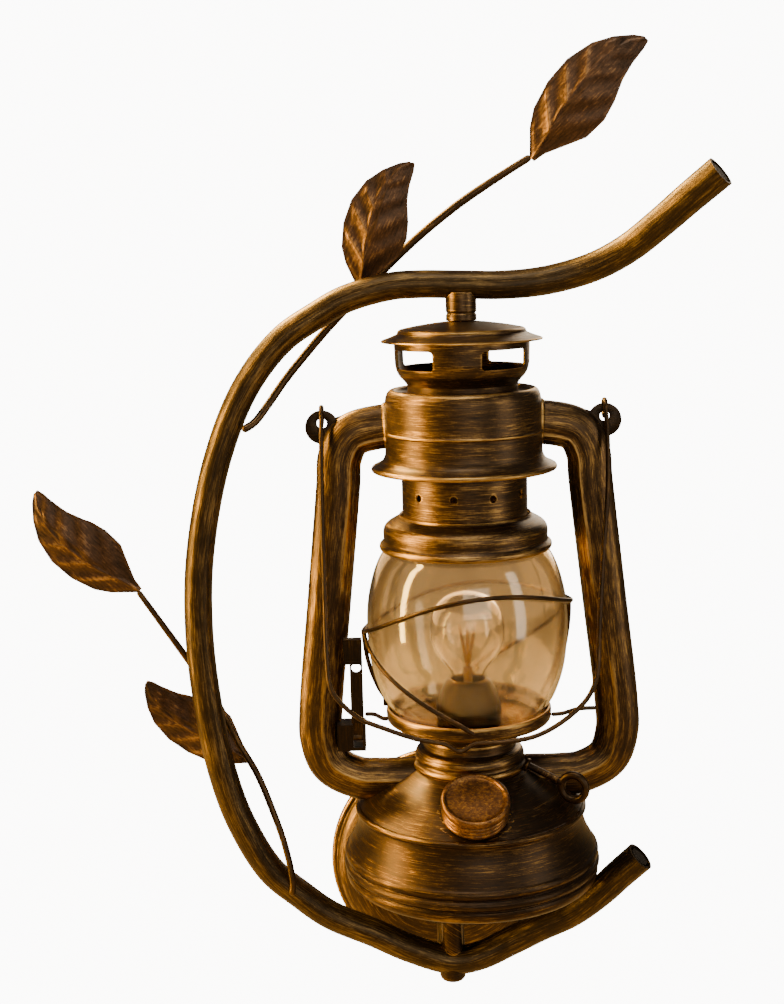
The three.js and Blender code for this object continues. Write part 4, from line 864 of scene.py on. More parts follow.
# Wall plate: a pressed round with a double rim, and the two domed nuts that hold it.
# Radius, and distance from the wall
PLATE_RUNS = [
    [(57.4, 0.3), (60.0, 0.3)],
    [(60.0, 0.3), (60.0, 1.9)],
    [(60.0, 1.9), (59.7, 3.1), (58.6, 3.9), (57.3, 4.1)],
    [(57.3, 4.1), (56.8, 4.5), (56.7, 5.3)],
    [(56.7, 5.3), (56.2, 6.6), (54.8, 8.1), (52.4, 9.8), (49.0, 11.9), (45.5, 13.3), (42.0, 13.9),
     (38.0, 14.0)],
    [(38.0, 14.0), (5.7, 14.0)],
]
FACING_ROOM = Matrix.Rotation(QUARTER_TURN, 4, "X")
plate_line = walled(softened(flow(PLATE_RUNS), radius=0.4), SHEET)
plate = revolved(plate_line, "wall_plate_look", place=FACING_ROOM)
finish_piece(plate, "wall_plate_look", LANTERN, "wall_plate")
PLATE_NUT_RUNS = [
    [(0.0, 0.0), (3.9, 0.0), (4.5, 0.5)],
    [(4.5, 0.5), (4.5, 2.4)],
    [(4.5, 2.4), (4.2, 4.4), (3.2, 6.0), (1.7, 6.8), (0.0, 7.0)],
]
PLATE_NUT_SPAN, PLATE_FACE, NUT_SIDES = 38.0, 14.3, 40
for side, name in ((-1, "left"), (1, "right")):
    place = Matrix.Translation((side * PLATE_NUT_SPAN, -PLATE_FACE, 0)) @ FACING_ROOM
    nut = revolved(flow(PLATE_NUT_RUNS, FINE_STEP), f"plate_nut_{name}_look", NUT_SIDES, place)
    finish_piece(nut, f"plate_nut_{name}_look", WIRE, f"plate_nut_{name}")

# Posts under and over the lantern, and the bolt's round head under the branch
POST_RADIUS = 6.9
HANGER_FOOT, HANGER_TOP = 262.35, 275.0
GROOVE_LOW, GROOVE_MIDDLE, GROOVE_HIGH = (HANGER_FOOT + rise for rise in (2.5, 3.3, 4.1))
GROOVE_DEPTH = 0.5
HANGER_RUNS = [
    [(0.0, HANGER_FOOT), (POST_RADIUS, HANGER_FOOT)],
    [(POST_RADIUS, HANGER_FOOT), (POST_RADIUS, GROOVE_LOW)],
    [(POST_RADIUS, GROOVE_LOW), (POST_RADIUS - GROOVE_DEPTH, GROOVE_MIDDLE), (POST_RADIUS, GROOVE_HIGH)],
    [(POST_RADIUS, GROOVE_HIGH), (POST_RADIUS, HANGER_TOP)],
    [(POST_RADIUS, HANGER_TOP), (0.0, HANGER_TOP)],
]
BASE_POST_RADIUS, BASE_POST_FOOT, BASE_POST_TOP, BASE_POST_OFFSET = 5.0, -40.5, 1.3, -10.0
AT_BASE_POST = AT_LAMP @ Matrix.Translation((BASE_POST_OFFSET, 0, 0))
BASE_POST_RUNS = [
    [(0.0, BASE_POST_FOOT), (BASE_POST_RADIUS, BASE_POST_FOOT)],
    [(BASE_POST_RADIUS, BASE_POST_FOOT), (BASE_POST_RADIUS, BASE_POST_TOP)],
    [(BASE_POST_RADIUS, BASE_POST_TOP), (0.0, BASE_POST_TOP)],
]
BOLT_RUNS = [
    [(0.0, -53.2), (3.2, -53.0), (5.2, -52.2), (6.1, -50.8), (6.2, -49.2)],
    [(6.2, -49.2), (6.2, -43.6)],
    [(6.2, -43.6), (2.0, -43.6)],
    [(2.0, -43.6), (2.0, 6.0)],
    [(2.0, 6.0), (0.0, 6.0)],
]
bolt_line = softened(flow(BOLT_RUNS, FINE_STEP), radius=0.2)
bolt = revolved(bolt_line, "base_bolt_look", NUT_SIDES, AT_BASE_POST)
finish_piece(bolt, "base_bolt_look", WIRE, "base_bolt")

# Branch, arm and twigs: shares across, forward and up of the branch's own sizes. Its foot's
# height is the frame's own

BRANCH_REACH, BRANCH_FORWARD, BRANCH_FOOT, BRANCH_RISE, HEEL_REACH = 114.0, 26.0, -20.3, 321.55, 60.2
BRANCH_RADIUS, BRANCH_WALL, BRANCH_STEP, BRANCH_SIDES = 6.7, 1.2, 2.0, 48
CROWN_SHARES = [
    (1.053, 1, 1.141), (0.949, 0.77, 1.109), (0.846, 0.52, 1.076), (0.74, 0.27, 1.045), (0.63, 0.1, 1.023),
    (0.516, 0, 1.0095), (0.39, 0, 1.001), (0.24, 0, 0.998),
]
BELLY_SHARES = [
    (-0.071, 0, 1.002), (-0.188, 0, 1), (-0.366, 0, 0.984), (-0.484, 0, 0.962), (-0.621, 0, 0.93),
    (-0.77, 0, 0.865), (-0.896, 0, 0.763), (-0.982, 0, 0.626), (-1, 0, 0.51), (-0.975, 0, 0.393),
    (-0.931, 0, 0.301), (-0.866, 0, 0.2265), (-0.75, 0, 0.15), (-0.633, 0, 0.1115), (-0.51, 0, 0.0775),
    (-0.325, 0, 0.0465), (-0.18, 0, 0.021),
]
HEEL_SHARES = [
    (0.218, 0, 0.006), (0.46, 0, 0.027), (0.7, 0.08, 0.0525), (0.945, 0.19, 0.078), (1.178, 0.35, 0.1175),
    (1.293, 0.42, 0.141), (1.46, 0.54, 0.174),
]
BRANCH_WIDTHS = ((0, 1.07), (0.07, 1.0), (0.2, 0.93), (0.4, 0.94), (0.6, 1.0), (0.93, 1.0), (1, 1.05))


def branch_point(share, reach=BRANCH_REACH):
    across, forward, up = share
    return Vector((across * reach, LAMP.y - forward * BRANCH_FORWARD, BRANCH_FOOT + up * BRANCH_RISE))


branch_points = [branch_point(share) for share in CROWN_SHARES]
branch_points.append(Vector((LAMP.x, LAMP.y, BRANCH_FOOT + BRANCH_RISE)))
branch_points += [branch_point(share) for share in BELLY_SHARES]
branch_points.append(Vector((0, LAMP.y, BRANCH_FOOT)))
branch_points += [branch_point(share, HEEL_REACH) for share in HEEL_SHARES]


branch_line = line(spline(branch_points, BRANCH_STEP), BRANCH_WIDTHS)
branch = rod_mesh([branch_line], BRANCH_RADIUS, BRANCH, BRANCH_SIDES, closed=False, worn=0.3)
finish_piece(thickened(branch, BRANCH_WALL), "branch_tube_look", BRANCH, "branch_tube")

# The posts are saddled to the branch where they meet it
hanger_line = softened(flow(HANGER_RUNS, FINE_STEP), radius=0.3)
posts = {
    "hanger_post": revolved(hanger_line, "hanger_post_look", SMALL_SIDES),
    "base_post": revolved(flow(BASE_POST_RUNS), "base_post_look", SMALL_SIDES, AT_BASE_POST),
}
for name, post in posts.items():
    saddle = rod_mesh([branch_line], BRANCH_RADIUS, BRANCH, BRANCH_SIDES)
    finish_round(combined(post, "DIFFERENCE", [saddle]), name, TANK if name == "base_post" else LANTERN)

ARM_START, ARM_END = -14.3, -76.18
ARM_SHARES = [(0, 0), (0.2, 0), (0.5, 0.45), (0.8, 1), (1, 1)]
TWIG_STEP = 1.5
arm_points = [Vector((0, ARM_START + (ARM_END - ARM_START) * reach, drop * BRANCH_FOOT))
              for reach, drop in ARM_SHARES]
arm = rod_mesh([line(spline(arm_points, TWIG_STEP))], BRANCH_RADIUS, BRANCH, BRANCH_SIDES, worn=0.2)
finish_piece(arm, "wall_arm_look", BRANCH, "wall_arm")

UPPER_TWIG_RADIUS, LOWER_TWIG_RADIUS, TWIG_GAP, TWIG_SIDES = 1.9, 1.6, 0.6, 24
TWIG_WIDTHS = ((0, 0.95), (0.3, 1.0), (0.8, 1.0), (1, 0.85))
UPPER_TWIG_SHARES = [
    (-0.785, -0.66, 0.807), (-0.74, -0.25, 0.816), (-0.686, 0.3, 0.839), (-0.617, 0.75, 0.872),
    (-0.535, 0.97, 0.906), (-0.435, 1.04, 0.945), (-0.3, 1.06, 0.992), (-0.157, 1.03, 1.04),
    (-0.053, 0.97, 1.072), (0.089, 0.92, 1.11), (0.231, 0.87, 1.142), (0.375, 0.82, 1.172),
]
LOWER_TWIG_SHARES = [
    (-0.66, -1, 0.121), (-0.655, -0.95, 0.142), (-0.684, -0.55, 0.194), (-0.735, 0, 0.245),
    (-0.795, 0.5, 0.295), (-0.864, 0.95, 0.335), (-0.957, 1.04, 0.404), (-1.076, 1, 0.474),
    (-1.16, 0.95, 0.521), (-1.252, 0.9, 0.572),
]


def twig_point(share, radius):
    """A point beside the branch; its middle share is how far behind the branch it lies, of
    the way that clears the branch."""
    across, behind, up = share
    reach = BRANCH_RADIUS + radius + TWIG_GAP
    return Vector((across * BRANCH_REACH, LAMP.y + behind * reach, BRANCH_FOOT + up * BRANCH_RISE))


for name, shares, radius in (("upper_twig", UPPER_TWIG_SHARES, UPPER_TWIG_RADIUS),
                             ("lower_twig", LOWER_TWIG_SHARES, LOWER_TWIG_RADIUS)):
    points = spline([twig_point(share, radius) for share in shares], TWIG_STEP)
    twig = rod_mesh([line(points, TWIG_WIDTHS, round_ends=radius)], radius, TWIG, TWIG_SIDES)
    finish_piece(twig, name + "_look", TWIG, name)

# Leaves: a sheet with a raised midrib, a low rim, and side veins that lean forwards on folds.
# Shares of its length, along it and across it

LEAF_LEFT = [
    (0, 0.02), (0.06, 0.08), (0.13, 0.15), (0.23, 0.215), (0.4, 0.265), (0.58, 0.275), (0.75, 0.235),
    (0.87, 0.165), (0.96, 0.085), (1, 0.03),
]
LEAF_RIGHT = [
    (0, -0.02), (0.08, -0.035), (0.2, -0.09), (0.33, -0.15), (0.48, -0.155), (0.6, -0.12), (0.73, -0.062),
    (0.84, -0.035), (0.95, -0.023), (1, -0.01),
]
LEAF_MIDRIB = [(0, 0.0), (0.15, 0.03), (0.32, 0.083), (0.62, 0.129), (0.77, 0.121), (0.92, 0.07), (1, 0.01)]
LEAF_FOLD = 0.16
# Where stalk and tip are, how full the leaf is and how far it bows, as a share of its length
LEAF_PLACES = {
    "leaf_upper_outer": ((0.377, 0.7, 1.168), (0.814, -0.3, 1.32), 1.0, 0.08),
    "leaf_upper_inner": ((-0.308, 0.92, 0.998), (-0.085, 0, 1.166), 1.14, 0.07),
    "leaf_lower_outer": ((-1.243, 0.85, 0.573), (-1.624, 0.1, 0.726), 1.0, 0.08),
    "leaf_lower_inner": ((-0.822, 0.9, 0.31), (-1.229, 0.55, 0.438), 1.05, -0.06),
}
LEAF_ROWS, LEAF_COLUMNS = 110, 72
VEIN_SPACING, VEIN_LEAN = 0.2, 1.1
MIDRIB_RISE, VEIN_RISE, RIM_RISE, FOLD_RISE = 0.7, 0.75, 0.3, 0.6
MIDRIB_WIDTH, RIM_WIDTH, VEIN_TO_EDGE = 0.85, 0.7, 2.5
MIDRIB_LOSS = 0.5             # share of its rise that the midrib loses by the tip
VEINS_GROW, VEINS_STOP, VEINS_FADE = 0.06, 0.93, 0.1
VEIN_SHARPNESS, NARROW_SIDE_VEIN = 6, 0.25
STALK_GOLD, GOLD_LOSS = 1.15, 1.3
MIDRIB_GOLD, VEIN_GOLD, FOLD_GOLD, RIM_GOLD = 0.45, 1.1, 0.25, 0.35
RISE_STROKE, ALONG_LEAF = 2, 0.12
LEAF_THICKNESS = 0.9


def leaf_relief(share, across, left, right, length):
    """How far a point of the leaf stands forward, and how much gold it takes. Gold is worn
    off towards the tip."""
    middle = share_at(LEAF_MIDRIB, share)
    aside = abs(across - middle)
    rib = math.exp(-(aside * length / MIDRIB_WIDTH) ** 2)
    start = share - aside * VEIN_LEAN
    edge_room = min(left - across, across - right) * length
    fade = min(1.0, edge_room / VEIN_TO_EDGE) * min(1.0, max(0.0, start) / VEINS_GROW)
    fade = max(0.0, fade * min(1.0, max(0.0, VEINS_STOP - start) / VEINS_FADE))
    wave = 0.5 + 0.5 * math.cos(2 * math.pi * start / VEIN_SPACING)
    vein = wave ** VEIN_SHARPNESS * fade * (1.0 if across > middle else NARROW_SIDE_VEIN)
    rim = math.exp(-(edge_room / RIM_WIDTH) ** 2)
    midrib = rib * MIDRIB_RISE * (1 - share * MIDRIB_LOSS)
    rise = max(midrib, vein * VEIN_RISE, wave * fade * FOLD_RISE) + rim * RIM_RISE
    kept = max(0.0, STALK_GOLD - GOLD_LOSS * share)
    gold = MIDRIB_GOLD * rib * kept + VEIN_GOLD * vein * kept + FOLD_GOLD * wave * fade + RIM_GOLD * rim
    return rise, min(1.0, gold)


def make_leaf(name, stalk, tip, full, bow):
    start, end = twig_point(stalk, UPPER_TWIG_RADIUS), twig_point(tip, UPPER_TWIG_RADIUS)
    along = end - start
    length = along.length
    left_way = Vector((-along.z, 0, along.x)).normalized()
    front_way = along.cross(left_way).normalized()
    verts, faces, strokes, edges = [], [], [], []
    for i in range(LEAF_ROWS + 1):
        share = i / LEAF_ROWS
        left, right = share_at(LEAF_LEFT, share) * full, share_at(LEAF_RIGHT, share) * full
        for k in range(LEAF_COLUMNS + 1):
            side = 2 * k / LEAF_COLUMNS - 1
            across = (left + right) / 2 + (left - right) / 2 * side
            fold = (left - right) / 2 * abs(side) * LEAF_FOLD * length
            rise, gold = leaf_relief(share, across / full, left / full, right / full, length)
            lift = length * bow * math.sin(math.pi * share) - fold + rise
            point = start + along * share + left_way * across * length + front_way * lift
            verts.append(point * MM)
            strokes.append((across * length, rise * RISE_STROKE, share * length * ALONG_LEAF))
            edges.append(gold)
    row = LEAF_COLUMNS + 1
    for i in range(LEAF_ROWS):
        for k in range(LEAF_COLUMNS):
            one = i * row + k
            faces.append((one, one + 1, one + row + 1, one + row))
    mesh = new_mesh(name, verts, faces)
    if mesh.polygons[0].normal.dot(front_way) < 0:
        mesh.flip_normals()
    paint(mesh, strokes, edges)
    finish_piece(thickened(mesh, LEAF_THICKNESS), name + "_look", LEAF, name)


for name, places in LEAF_PLACES.items():
    make_leaf(name, *places)

# Side tubes: flat oval tubes with a raised seam, a flange at the hood and an ear for the bail.
# Shares of the top span, of the spread beyond it and of the rise

TUBE_SHARES = [
    (0.44, 0, 1), (0.68, 0, 1), (0.9, 0, 0.977), (0.99, 0, 0.92), (1, 0.04, 0.848), (1, 0.5, 0.53),
    (1, 0.965, 0.21), (1, 0.99, 0.127), (1, 0.64, 0.049), (0.93, 0, 0.0065), (0.74, 0, 0), (0.5, 0, 0),
]
TUBE_TOP_SPAN, TUBE_SPREAD, TUBE_FOOT, TUBE_RISE = 56.9, 12.5, 48.9, 166.4
TUBE_HALF_WIDTH, TUBE_HALF_DEPTH = 10.1, 6.8
TUBE_SIDES = 80
TUBE_STARTS_AT, TUBE_ENDS_AT = 33.8, 25.6
FLANGE_LENGTH, FLANGE_RISE = 1.8, 0.9
SEAM_HEIGHT, SEAM_HALF_ANGLE, SEAM_FADE = 0.55, math.radians(5), 0.04
UPPER_SEAM_TURN, UPPER_SEAM_END = math.radians(-122), 0.45
LOWER_SEAM_TURN, LOWER_SEAM_START = math.radians(-96), 0.56
TUBE_WORN, RISE_WORN = 0.15, 1.6


def seam_rise(turn, share):
    """The raised seam runs down the tube's inner front to its middle, and down its front
    from there on."""
    upper = math.exp(-((turn - UPPER_SEAM_TURN) / SEAM_HALF_ANGLE) ** 2)
    upper *= max(0.0, min(1.0, (UPPER_SEAM_END - share) / SEAM_FADE))
    lower = math.exp(-((turn - LOWER_SEAM_TURN) / SEAM_HALF_ANGLE) ** 2)
    lower *= max(0.0, min(1.0, (share - LOWER_SEAM_START) / SEAM_FADE))
    return SEAM_HEIGHT * (upper + lower)


def make_side_tube(side, name):
    points = [Vector((across * TUBE_TOP_SPAN + spread * TUBE_SPREAD, 0, TUBE_FOOT + up * TUBE_RISE))
              for across, spread, up in TUBE_SHARES]
    path = spline(points, CURVE_STEP)
    half = len(path) // 2
    path = [p for i, p in enumerate(path) if i > half or p.x > TUBE_STARTS_AT]
    path.append(Vector((TUBE_ENDS_AT, 0, path[-1].z)))
    loops, strokes, edges = [], [], []
    travelled = 0.0
    last = len(path) - 1
    for i, point in enumerate(path):
        ahead = (path[min(i + 1, last)] - path[max(i - 1, 0)]).normalized()
        travelled += (point - path[i - 1]).length if i else 0.0
        out = Vector((-ahead.z, 0, ahead.x))
        flange = FLANGE_RISE if travelled < FLANGE_LENGTH else 0.0
        loop = []
        for k in range(TUBE_SIDES):
            turn = 2 * math.pi * k / TUBE_SIDES - math.pi
            rise = seam_rise(turn, i / last) + flange
            p = point + out * math.cos(turn) * (TUBE_HALF_WIDTH + rise)
            p += Vector((0, math.sin(turn) * (TUBE_HALF_DEPTH + rise), 0))
            loop.append(AT_LAMP @ Vector((p.x * side, p.y, p.z)))
            strokes.append((math.cos(turn) * TUBE_HALF_WIDTH, math.sin(turn) * TUBE_HALF_DEPTH,
                            travelled * ALONG_STRETCH))
            edges.append(min(1.0, TUBE_WORN + rise * RISE_WORN))
        loops.append(loop)
    mesh = skin(loops, name, ringed=False)
    paint(mesh, strokes, edges)
    return mesh


EAR_SPAN, EAR_HEIGHT, EAR_RADIUS, EAR_THICKNESS, EAR_BEVEL = 64.0, 216.0, 7.6, 1.6, 0.25
EAR_HOLE, EAR_HOLE_RISE, EAR_HOLE_SIDES = 2.3, 1.7, 40
EAR_WEB_WIDTH, EAR_WEB_TURN = 12.65, math.radians(18)
EAR_STEP_BACK = 0.01          # keeps the faces of lobe and web from lying in one plane


def make_ear(side, name):
    """A round lobe with a hole for the bail, on a web that reaches into the tube."""
    at_ear = AT_LAMP @ Matrix.Translation((side * EAR_SPAN, 0, EAR_HEIGHT))
    half = EAR_THICKNESS / 2
    lobe = drum(EAR_RADIUS, -half, half, at_ear @ FACING_ROOM)
    place = at_ear @ Matrix.Translation((-side * EAR_WEB_WIDTH / 2, 0, -EAR_RADIUS / 2))
    place = place @ Matrix.Rotation(side * EAR_WEB_TURN, 4, "Y")
    web = block((-EAR_WEB_WIDTH / 2, EAR_STEP_BACK - half, -EAR_RADIUS),
                (EAR_WEB_WIDTH / 2, half - EAR_STEP_BACK, EAR_RADIUS), place)
    at_hole = at_ear @ Matrix.Translation((0, 0, EAR_HOLE_RISE)) @ FACING_ROOM
    ear = combined(lobe, "UNION", [web])
    hole = drum(EAR_HOLE, -2 * EAR_THICKNESS, 2 * EAR_THICKNESS, at_hole, EAR_HOLE_SIDES)
    ear = bevelled(combined(ear, "DIFFERENCE", [hole]), EAR_BEVEL)
    paint_plain(ear, (ALONG_STRETCH, 1.0, 1.0))
    finish_piece(ear, name, LEVER, body=f"side_tube_{'left' if side < 0 else 'right'}")


for side, name in ((-1, "side_tube_left"), (1, "side_tube_right")):
    finish_piece(make_side_tube(side, name + "_look"), name + "_look", TUBE, name)
    make_ear(side, name.replace("side_tube", "bail_ear"))

# Bail: one wire with an eye through each ear, kinked at its middle. Shares of the span
# between the ears, halved, and of the bail's length

BAIL_SHARES = [
    (-1.005, 0.09), (-1.008, 0.25), (-1.005, 0.48), (-0.998, 0.72), (-0.981, 0.8), (-0.945, 0.832),
    (-0.794, 0.894), (-0.6, 0.93), (-0.4, 0.96), (-0.19, 0.98), (-0.099, 1), (0, 0.98), (0.2, 0.976),
    (0.42, 0.962), (0.622, 0.919), (0.794, 0.854), (0.862, 0.79), (0.885, 0.7), (0.9, 0.62), (0.945, 0.42),
    (0.99, 0.25), (1.005, 0.09),
]
BAIL_WIRE, BAIL_LENGTH, BAIL_EYE, BAIL_PIVOT = 1.1, 150.7, 3.65, 221.4
BAIL_LEAN = math.radians(15.6)
BAIL_STEP, EYE_STEPS = 1.2, 48


def bail_point(across, down):
    drop = down * BAIL_LENGTH * math.cos(BAIL_LEAN)
    forward = BAIL_EYE + drop * math.tan(BAIL_LEAN)
    return AT_LAMP @ Vector((across * EAR_SPAN, -forward, BAIL_PIVOT - drop))


bail_points = [bail_point(*share) for share in [(-1, 0), *BAIL_SHARES, (1, 0)]]
bail_lines = [line(spline(bail_points, BAIL_STEP))]
for side in (-1, 1):
    place = AT_LAMP @ Matrix.Translation((side * EAR_SPAN, 0, BAIL_PIVOT))
    place = place @ Matrix.Rotation(QUARTER_TURN, 4, "Y")
    bail_lines.append(line(ring_points(BAIL_EYE, EYE_STEPS, place), ringed=True))
finish_piece(rod_mesh(bail_lines, BAIL_WIRE, WIRE), "bail_look", WIRE, "bail")

# Globe guard: a tilted hoop and four legs bent along the globe

GUARD_WIRE, HOOP_RADIUS, GUARD_FOOT, GUARD_LEAST = 1.05, 47.85, 82.3, 39.65
GUARD_HEIGHT, GUARD_TILT, GUARD_BOW, GUARD_TURN = 132.5, 9.2, 5.5, math.radians(-48)
GUARD_CLEAR = 1.95
HOOP_STEPS, LEG_STEPS = 160, 60
# Where each leg leaves the hoop and where it ends, in shares of a turn
GUARD_LEGS = [(0.519, 0.75), (0, 0.261), (0.014, 0.056), (0.494, 0.467)]
globe_line = [(z, r) for r, z in flow(on_box("globe_glass", GLOBE_RUNS))]


def hoop_height(turn):
    return GUARD_HEIGHT + GUARD_TILT * math.cos(turn - GUARD_TURN) - GUARD_BOW * math.cos(2 * turn)


def leg_points(shares):
    """A leg runs down from the hoop, outside the globe or as far out as the dish's rim."""
    start, end = (2 * math.pi * share for share in shares)
    points = []
    for i in range(LEG_STEPS + 1):
        turn = start + (end - start) * i / LEG_STEPS
        height = hoop_height(start) + (GUARD_FOOT - hoop_height(start)) * i / LEG_STEPS
        radius = max(share_at(globe_line, height) + GUARD_CLEAR, GUARD_LEAST)
        points.append(AT_LAMP @ Vector((radius * math.cos(turn), radius * math.sin(turn), height)))
    return points


hoop = []
for i in range(HOOP_STEPS):
    turn = 2 * math.pi * i / HOOP_STEPS
    place = (HOOP_RADIUS * math.cos(turn), HOOP_RADIUS * math.sin(turn), hoop_height(turn))
    hoop.append(AT_LAMP @ Vector(place))
guard_lines = [line(hoop, ringed=True), *[line(leg_points(shares)) for shares in GUARD_LEGS]]
finish_piece(rod_mesh(guard_lines, GUARD_WIRE, WIRE), "globe_guard_look", WIRE, "globe_guard")

# Globe lift: guide wires from the dish, and the lever that lifts it

GUIDE_SHARES = [(0, 0), (0.25, 0.15), (0.6, 0.9), (1, 1)]
GUIDE_WIRE, GUIDE_START, GUIDE_LEFT_END, GUIDE_RIGHT_END = 1.0, 37.55, 48.36, 58.4
GUIDE_FOOT, GUIDE_RISE, GUIDE_STEP, LEVER_Y = 80.85, 2.6, 0.5, -8.9
for side, end, name in ((-1, GUIDE_LEFT_END, "guide_wire_left"), (1, GUIDE_RIGHT_END, "guide_wire_right")):
    points = []
    for out, up in GUIDE_SHARES:
        across = side * (GUIDE_START + (end - GUIDE_START) * out)
        points.append(AT_LAMP @ Vector((across, LEVER_Y, GUIDE_FOOT + GUIDE_RISE * up)))
    wire_line = line(spline(points, GUIDE_STEP), round_ends=GUIDE_WIRE)
    finish_piece(rod_mesh([wire_line], GUIDE_WIRE, WIRE), name + "_look", WIRE, name)

LEVER_AT = AT_LAMP @ Matrix.Translation((-51.76, LEVER_Y, 72.5))
LEVER_WIDTH, LEVER_SHEET, LEVER_LENGTH, TANG_WIDTH, TANG_LENGTH = 5.8, 2.2, 36.0, 4.6, 6.9
HEAD_WIDTH, HEAD_DEPTH, HEAD_HEIGHT = 8.4, 5.0, 11.5
LEVER_EYE, LEVER_BEVEL, LEVER_SIDES = 2.25, 0.7, 32
PIN_RADIUS, PIN_LENGTH, BOSS_RADIUS = 1.3, 6.4, 1.6
STEP_BACK, OVERLAP = 0.02, 0.3     # of the blocks that are joined, so that no faces coincide
along_pin = LEVER_AT @ Matrix.Rotation(QUARTER_TURN, 4, "Y")
half_width, half_tang, half_sheet = LEVER_WIDTH / 2, TANG_WIDTH / 2, LEVER_SHEET / 2
lever = block((-half_width, -half_sheet, TANG_LENGTH), (half_width, half_sheet, LEVER_LENGTH), LEVER_AT)
head_foot = LEVER_LENGTH - OVERLAP
lever_parts = [
    block((-half_tang, STEP_BACK - half_sheet, 0),
          (half_tang, half_sheet - STEP_BACK, TANG_LENGTH + OVERLAP), LEVER_AT),
    block((half_width - HEAD_WIDTH - STEP_BACK, half_sheet - HEAD_DEPTH, head_foot),
          (half_width - STEP_BACK, half_sheet - STEP_BACK, head_foot + HEAD_HEIGHT), LEVER_AT),
    drum(BOSS_RADIUS, -half_tang, half_tang, along_pin, LEVER_SIDES),
    drum(PIN_RADIUS, -PIN_LENGTH / 2, PIN_LENGTH / 2, along_pin, LEVER_SIDES),
]
for part in lever_parts:
    lever = combined(lever, "UNION", [part])
at_eye = LEVER_AT @ Matrix.Translation((0, 0, LEVER_LENGTH - half_width)) @ FACING_ROOM
eye = drum(LEVER_EYE, -HEAD_DEPTH, HEAD_DEPTH, at_eye, LEVER_SIDES)
lever = bevelled(combined(lever, "DIFFERENCE", [eye]), LEVER_BEVEL)
paint_plain(lever)
finish_piece(lever, "lift_lever_look", LEVER, "lift_lever")

# Wick winder: a spindle out of the neck and a finger ring at its end

WINDER = at_joint("winder_turn")
SPINDLE_RADIUS, SPINDLE_LENGTH, SPINDLE_COLLAR, SPINDLE_SIDES = 1.6, 16.5, 3.2, 32
spindle_line = [Vector(p) for p in (
    (0, 0), (SPINDLE_COLLAR, 0), (SPINDLE_COLLAR, SPINDLE_RADIUS), (SPINDLE_RADIUS, SPINDLE_RADIUS),
    (SPINDLE_RADIUS, SPINDLE_LENGTH), (0, SPINDLE_LENGTH))]
spindle = revolved(softened(spindle_line, radius=0.35), "winder_spindle_look", SPINDLE_SIDES, WINDER)
finish_piece(spindle, "winder_spindle_look", WIRE, "winder_spindle")
WINDER_RING, WINDER_WIRE, RING_STEPS, RING_SIDES = 5.85, 1.85, 64, 24
STUB_START, STUB_LENGTH, STUB_WIDTH, STUB_STEPS = 16.8, 2.6, 1.08, 4
at_ring = WINDER @ Matrix.Translation((0, 0, STUB_START + WINDER_RING + WINDER_WIRE))
at_ring = at_ring @ Matrix.Rotation(QUARTER_TURN, 4, "Y")
stub = [WINDER @ Vector((0, 0, STUB_START + STUB_LENGTH * k / STUB_STEPS)) for k in range(STUB_STEPS + 1)]
winder_lines = [line(ring_points(WINDER_RING, RING_STEPS, at_ring), ringed=True),
                line(stub, ((0, STUB_WIDTH), (1, STUB_WIDTH)))]
winder = rod_mesh(winder_lines, WINDER_WIRE, WIRE, RING_SIDES)
finish_piece(winder, "winder_loop_look", WIRE, "winder_loop")

# Nodes whose own shape is right keep it and take a finish
for node, material in {
    "tank_pan": DARK, "wall_strap": ZINC, "strap_screw_left": BRASS, "strap_screw_right": BRASS,
    "terminal_block": PLASTIC, "lamp_holder": PLASTIC, "base_nut": ZINC, "hanger_nut": ZINC,
    "bulb_filament": FILAMENT, "branch_top_plug": DARK, "branch_bottom_plug": DARK, "lift_bracket": FITTING,
    "filler_neck": FITTING,
}.items():
    frame["nodes"][node].data.materials.clear()
    frame["nodes"][node].data.materials.append(material)


# Stage, lights and camera

def area_light(name, place, target, size, power, colour):
    light = bpy.data.lights.new(name, "AREA")
    light.shape = "RECTANGLE"
    light.size, light.size_y = size
    light.energy = power
    light.color = linear(colour)[:3]
    lamp = add_object(light, name)
    lamp.location = place
    lamp.rotation_euler = (Vector(target) - Vector(place)).to_track_quat("-Z", "Y").to_euler()


FLOOR_REACH, FLOOR_DROP, FLOOR_COLOUR, FLOOR_ROUGHNESS = 6.0, 0.25, "#8c8375", 0.9
BACKDROP, BACKDROP_STRENGTH = "#f7f5f2", 12.0
ROOM_STRENGTH = 0.5
ROOM_COLOURS = [(0.0, "#7a6c5b"), (0.35, "#84766a"), (0.75, "#94877a"), (1.0, "#a3988a")]
BEHIND_GLASS, BEHIND_GLASS_STRENGTH = "#e6b578", 5.6


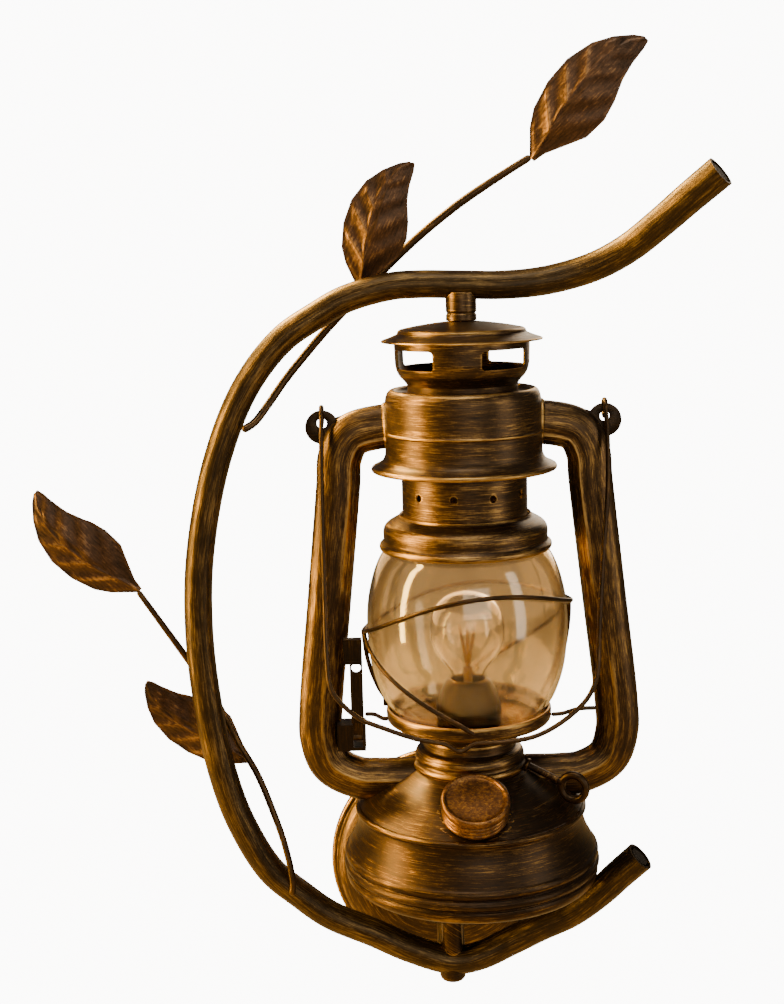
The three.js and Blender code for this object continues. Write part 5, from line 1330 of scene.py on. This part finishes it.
def make_stage():
    """A plain pale floor and an even pale backdrop. Only the room that the lamp mirrors
    is dimmer and warmer, so that its metal stays dark between the lights, and what shows
    through its glass is tan."""
    height = cad_box[0][2] - FLOOR_DROP
    corners = [(x * FLOOR_REACH, y * FLOOR_REACH, height) for x, y in ((-1, -1), (1, -1), (1, 1), (-1, 1))]
    mesh = new_mesh("floor", corners, [(0, 1, 2, 3)])
    floor = add_object(mesh, "floor")
    material, node, shader, link = new_material("pale_painted_floor")
    shader.inputs["Base Color"].default_value = linear(FLOOR_COLOUR)
    shader.inputs["Roughness"].default_value = FLOOR_ROUGHNESS
    glow = {"Color": linear(BACKDROP), "Strength": BACKDROP_STRENGTH}
    bright = node("ShaderNodeEmission", inputs=glow)["Emission"]
    seen = node("ShaderNodeLightPath")["Is Camera Ray"]
    surface = node("ShaderNodeMixShader", inputs={0: seen, 1: shader.outputs["BSDF"], 2: bright})["Shader"]
    link(surface, material.node_tree.nodes["Material Output"].inputs["Surface"])
    mesh.materials.append(material)

    world = bpy.data.worlds.new("studio")
    bpy.context.scene.world = world
    world.use_nodes = True
    node = partial(add_node, world.node_tree)
    rise = node("ShaderNodeSeparateXYZ", inputs={"Vector": node("ShaderNodeTexCoord")["Generated"]})["Z"]
    room = node("ShaderNodeValToRGB", inputs={"Fac": rise}, stops=ROOM_COLOURS)["Color"]
    backgrounds = []
    for colour, strength in ((room, ROOM_STRENGTH), (linear(BACKDROP), BACKDROP_STRENGTH),
                             (linear(BEHIND_GLASS), BEHIND_GLASS_STRENGTH)):
        glow = {"Color": colour, "Strength": strength}
        backgrounds.append(node("ShaderNodeBackground", inputs=glow)["Background"])
    dim, pale, through = backgrounds
    rays = node("ShaderNodeLightPath")
    mixed = node("ShaderNodeMixShader", inputs={0: rays["Is Transmission Ray"], 1: dim, 2: through})["Shader"]
    mixed = node("ShaderNodeMixShader", inputs={0: rays["Is Camera Ray"], 1: mixed, 2: pale})["Shader"]
    world.node_tree.links.new(mixed, world.node_tree.nodes["World Output"].inputs["Surface"])


# Soft lights: place and size in metres, power in watts, and colour
LIGHTS = {
    "key": ((-1.2, -0.3, 0.5), (0.16, 1.5), 78, "#ffc766"),
    "right_fill": ((1.15, -0.75, 0.4), (0.3, 1.2), 7.0, "#ffeccf"),
    "front_fill": ((0.2, -1.3, 0.45), (0.7, 0.5), 4.0, "#ffeed6"),
    "upper_key": ((-0.7, 0.5, 1.15), (0.4, 0.4), 95, "#ffcc70"),
    "top_fill": ((0.0, -0.45, 1.3), (0.5, 0.4), 7.0, "#fff0d8"),
    "back_fill": ((0.5, 1.2, 0.6), (0.5, 1.0), 6, "#ffe8c8"),
}
LIT_HEIGHT = 0.17             # of the point that the lights face, in metres

CAMERA_PLACE = (-23.2, -767.4, 320.0)
CAMERA_PITCH, CAMERA_ROLL, CAMERA_LENS, CAMERA_SENSOR = 9.6, 1.56, 54.75, 36.0


def make_camera():
    lens = bpy.data.cameras.new("camera")
    lens.lens = CAMERA_LENS
    lens.sensor_fit = "VERTICAL"
    lens.sensor_height = CAMERA_SENSOR
    lens.clip_start = 0.01
    camera = add_object(lens, "camera")
    camera.location = Vector(CAMERA_PLACE) * MM
    pitch = Matrix.Rotation(math.radians(90 - CAMERA_PITCH), 4, "X")
    roll = Matrix.Rotation(math.radians(-CAMERA_ROLL), 4, "Z")
    camera.rotation_euler = (pitch @ roll).to_euler()
    bpy.context.scene.camera = camera


make_stage()
for name, (place, size, power, colour) in LIGHTS.items():
    area_light(name, place, (LAMP.x * MM, LAMP.y * MM, LIT_HEIGHT), size, power, colour)
make_camera()
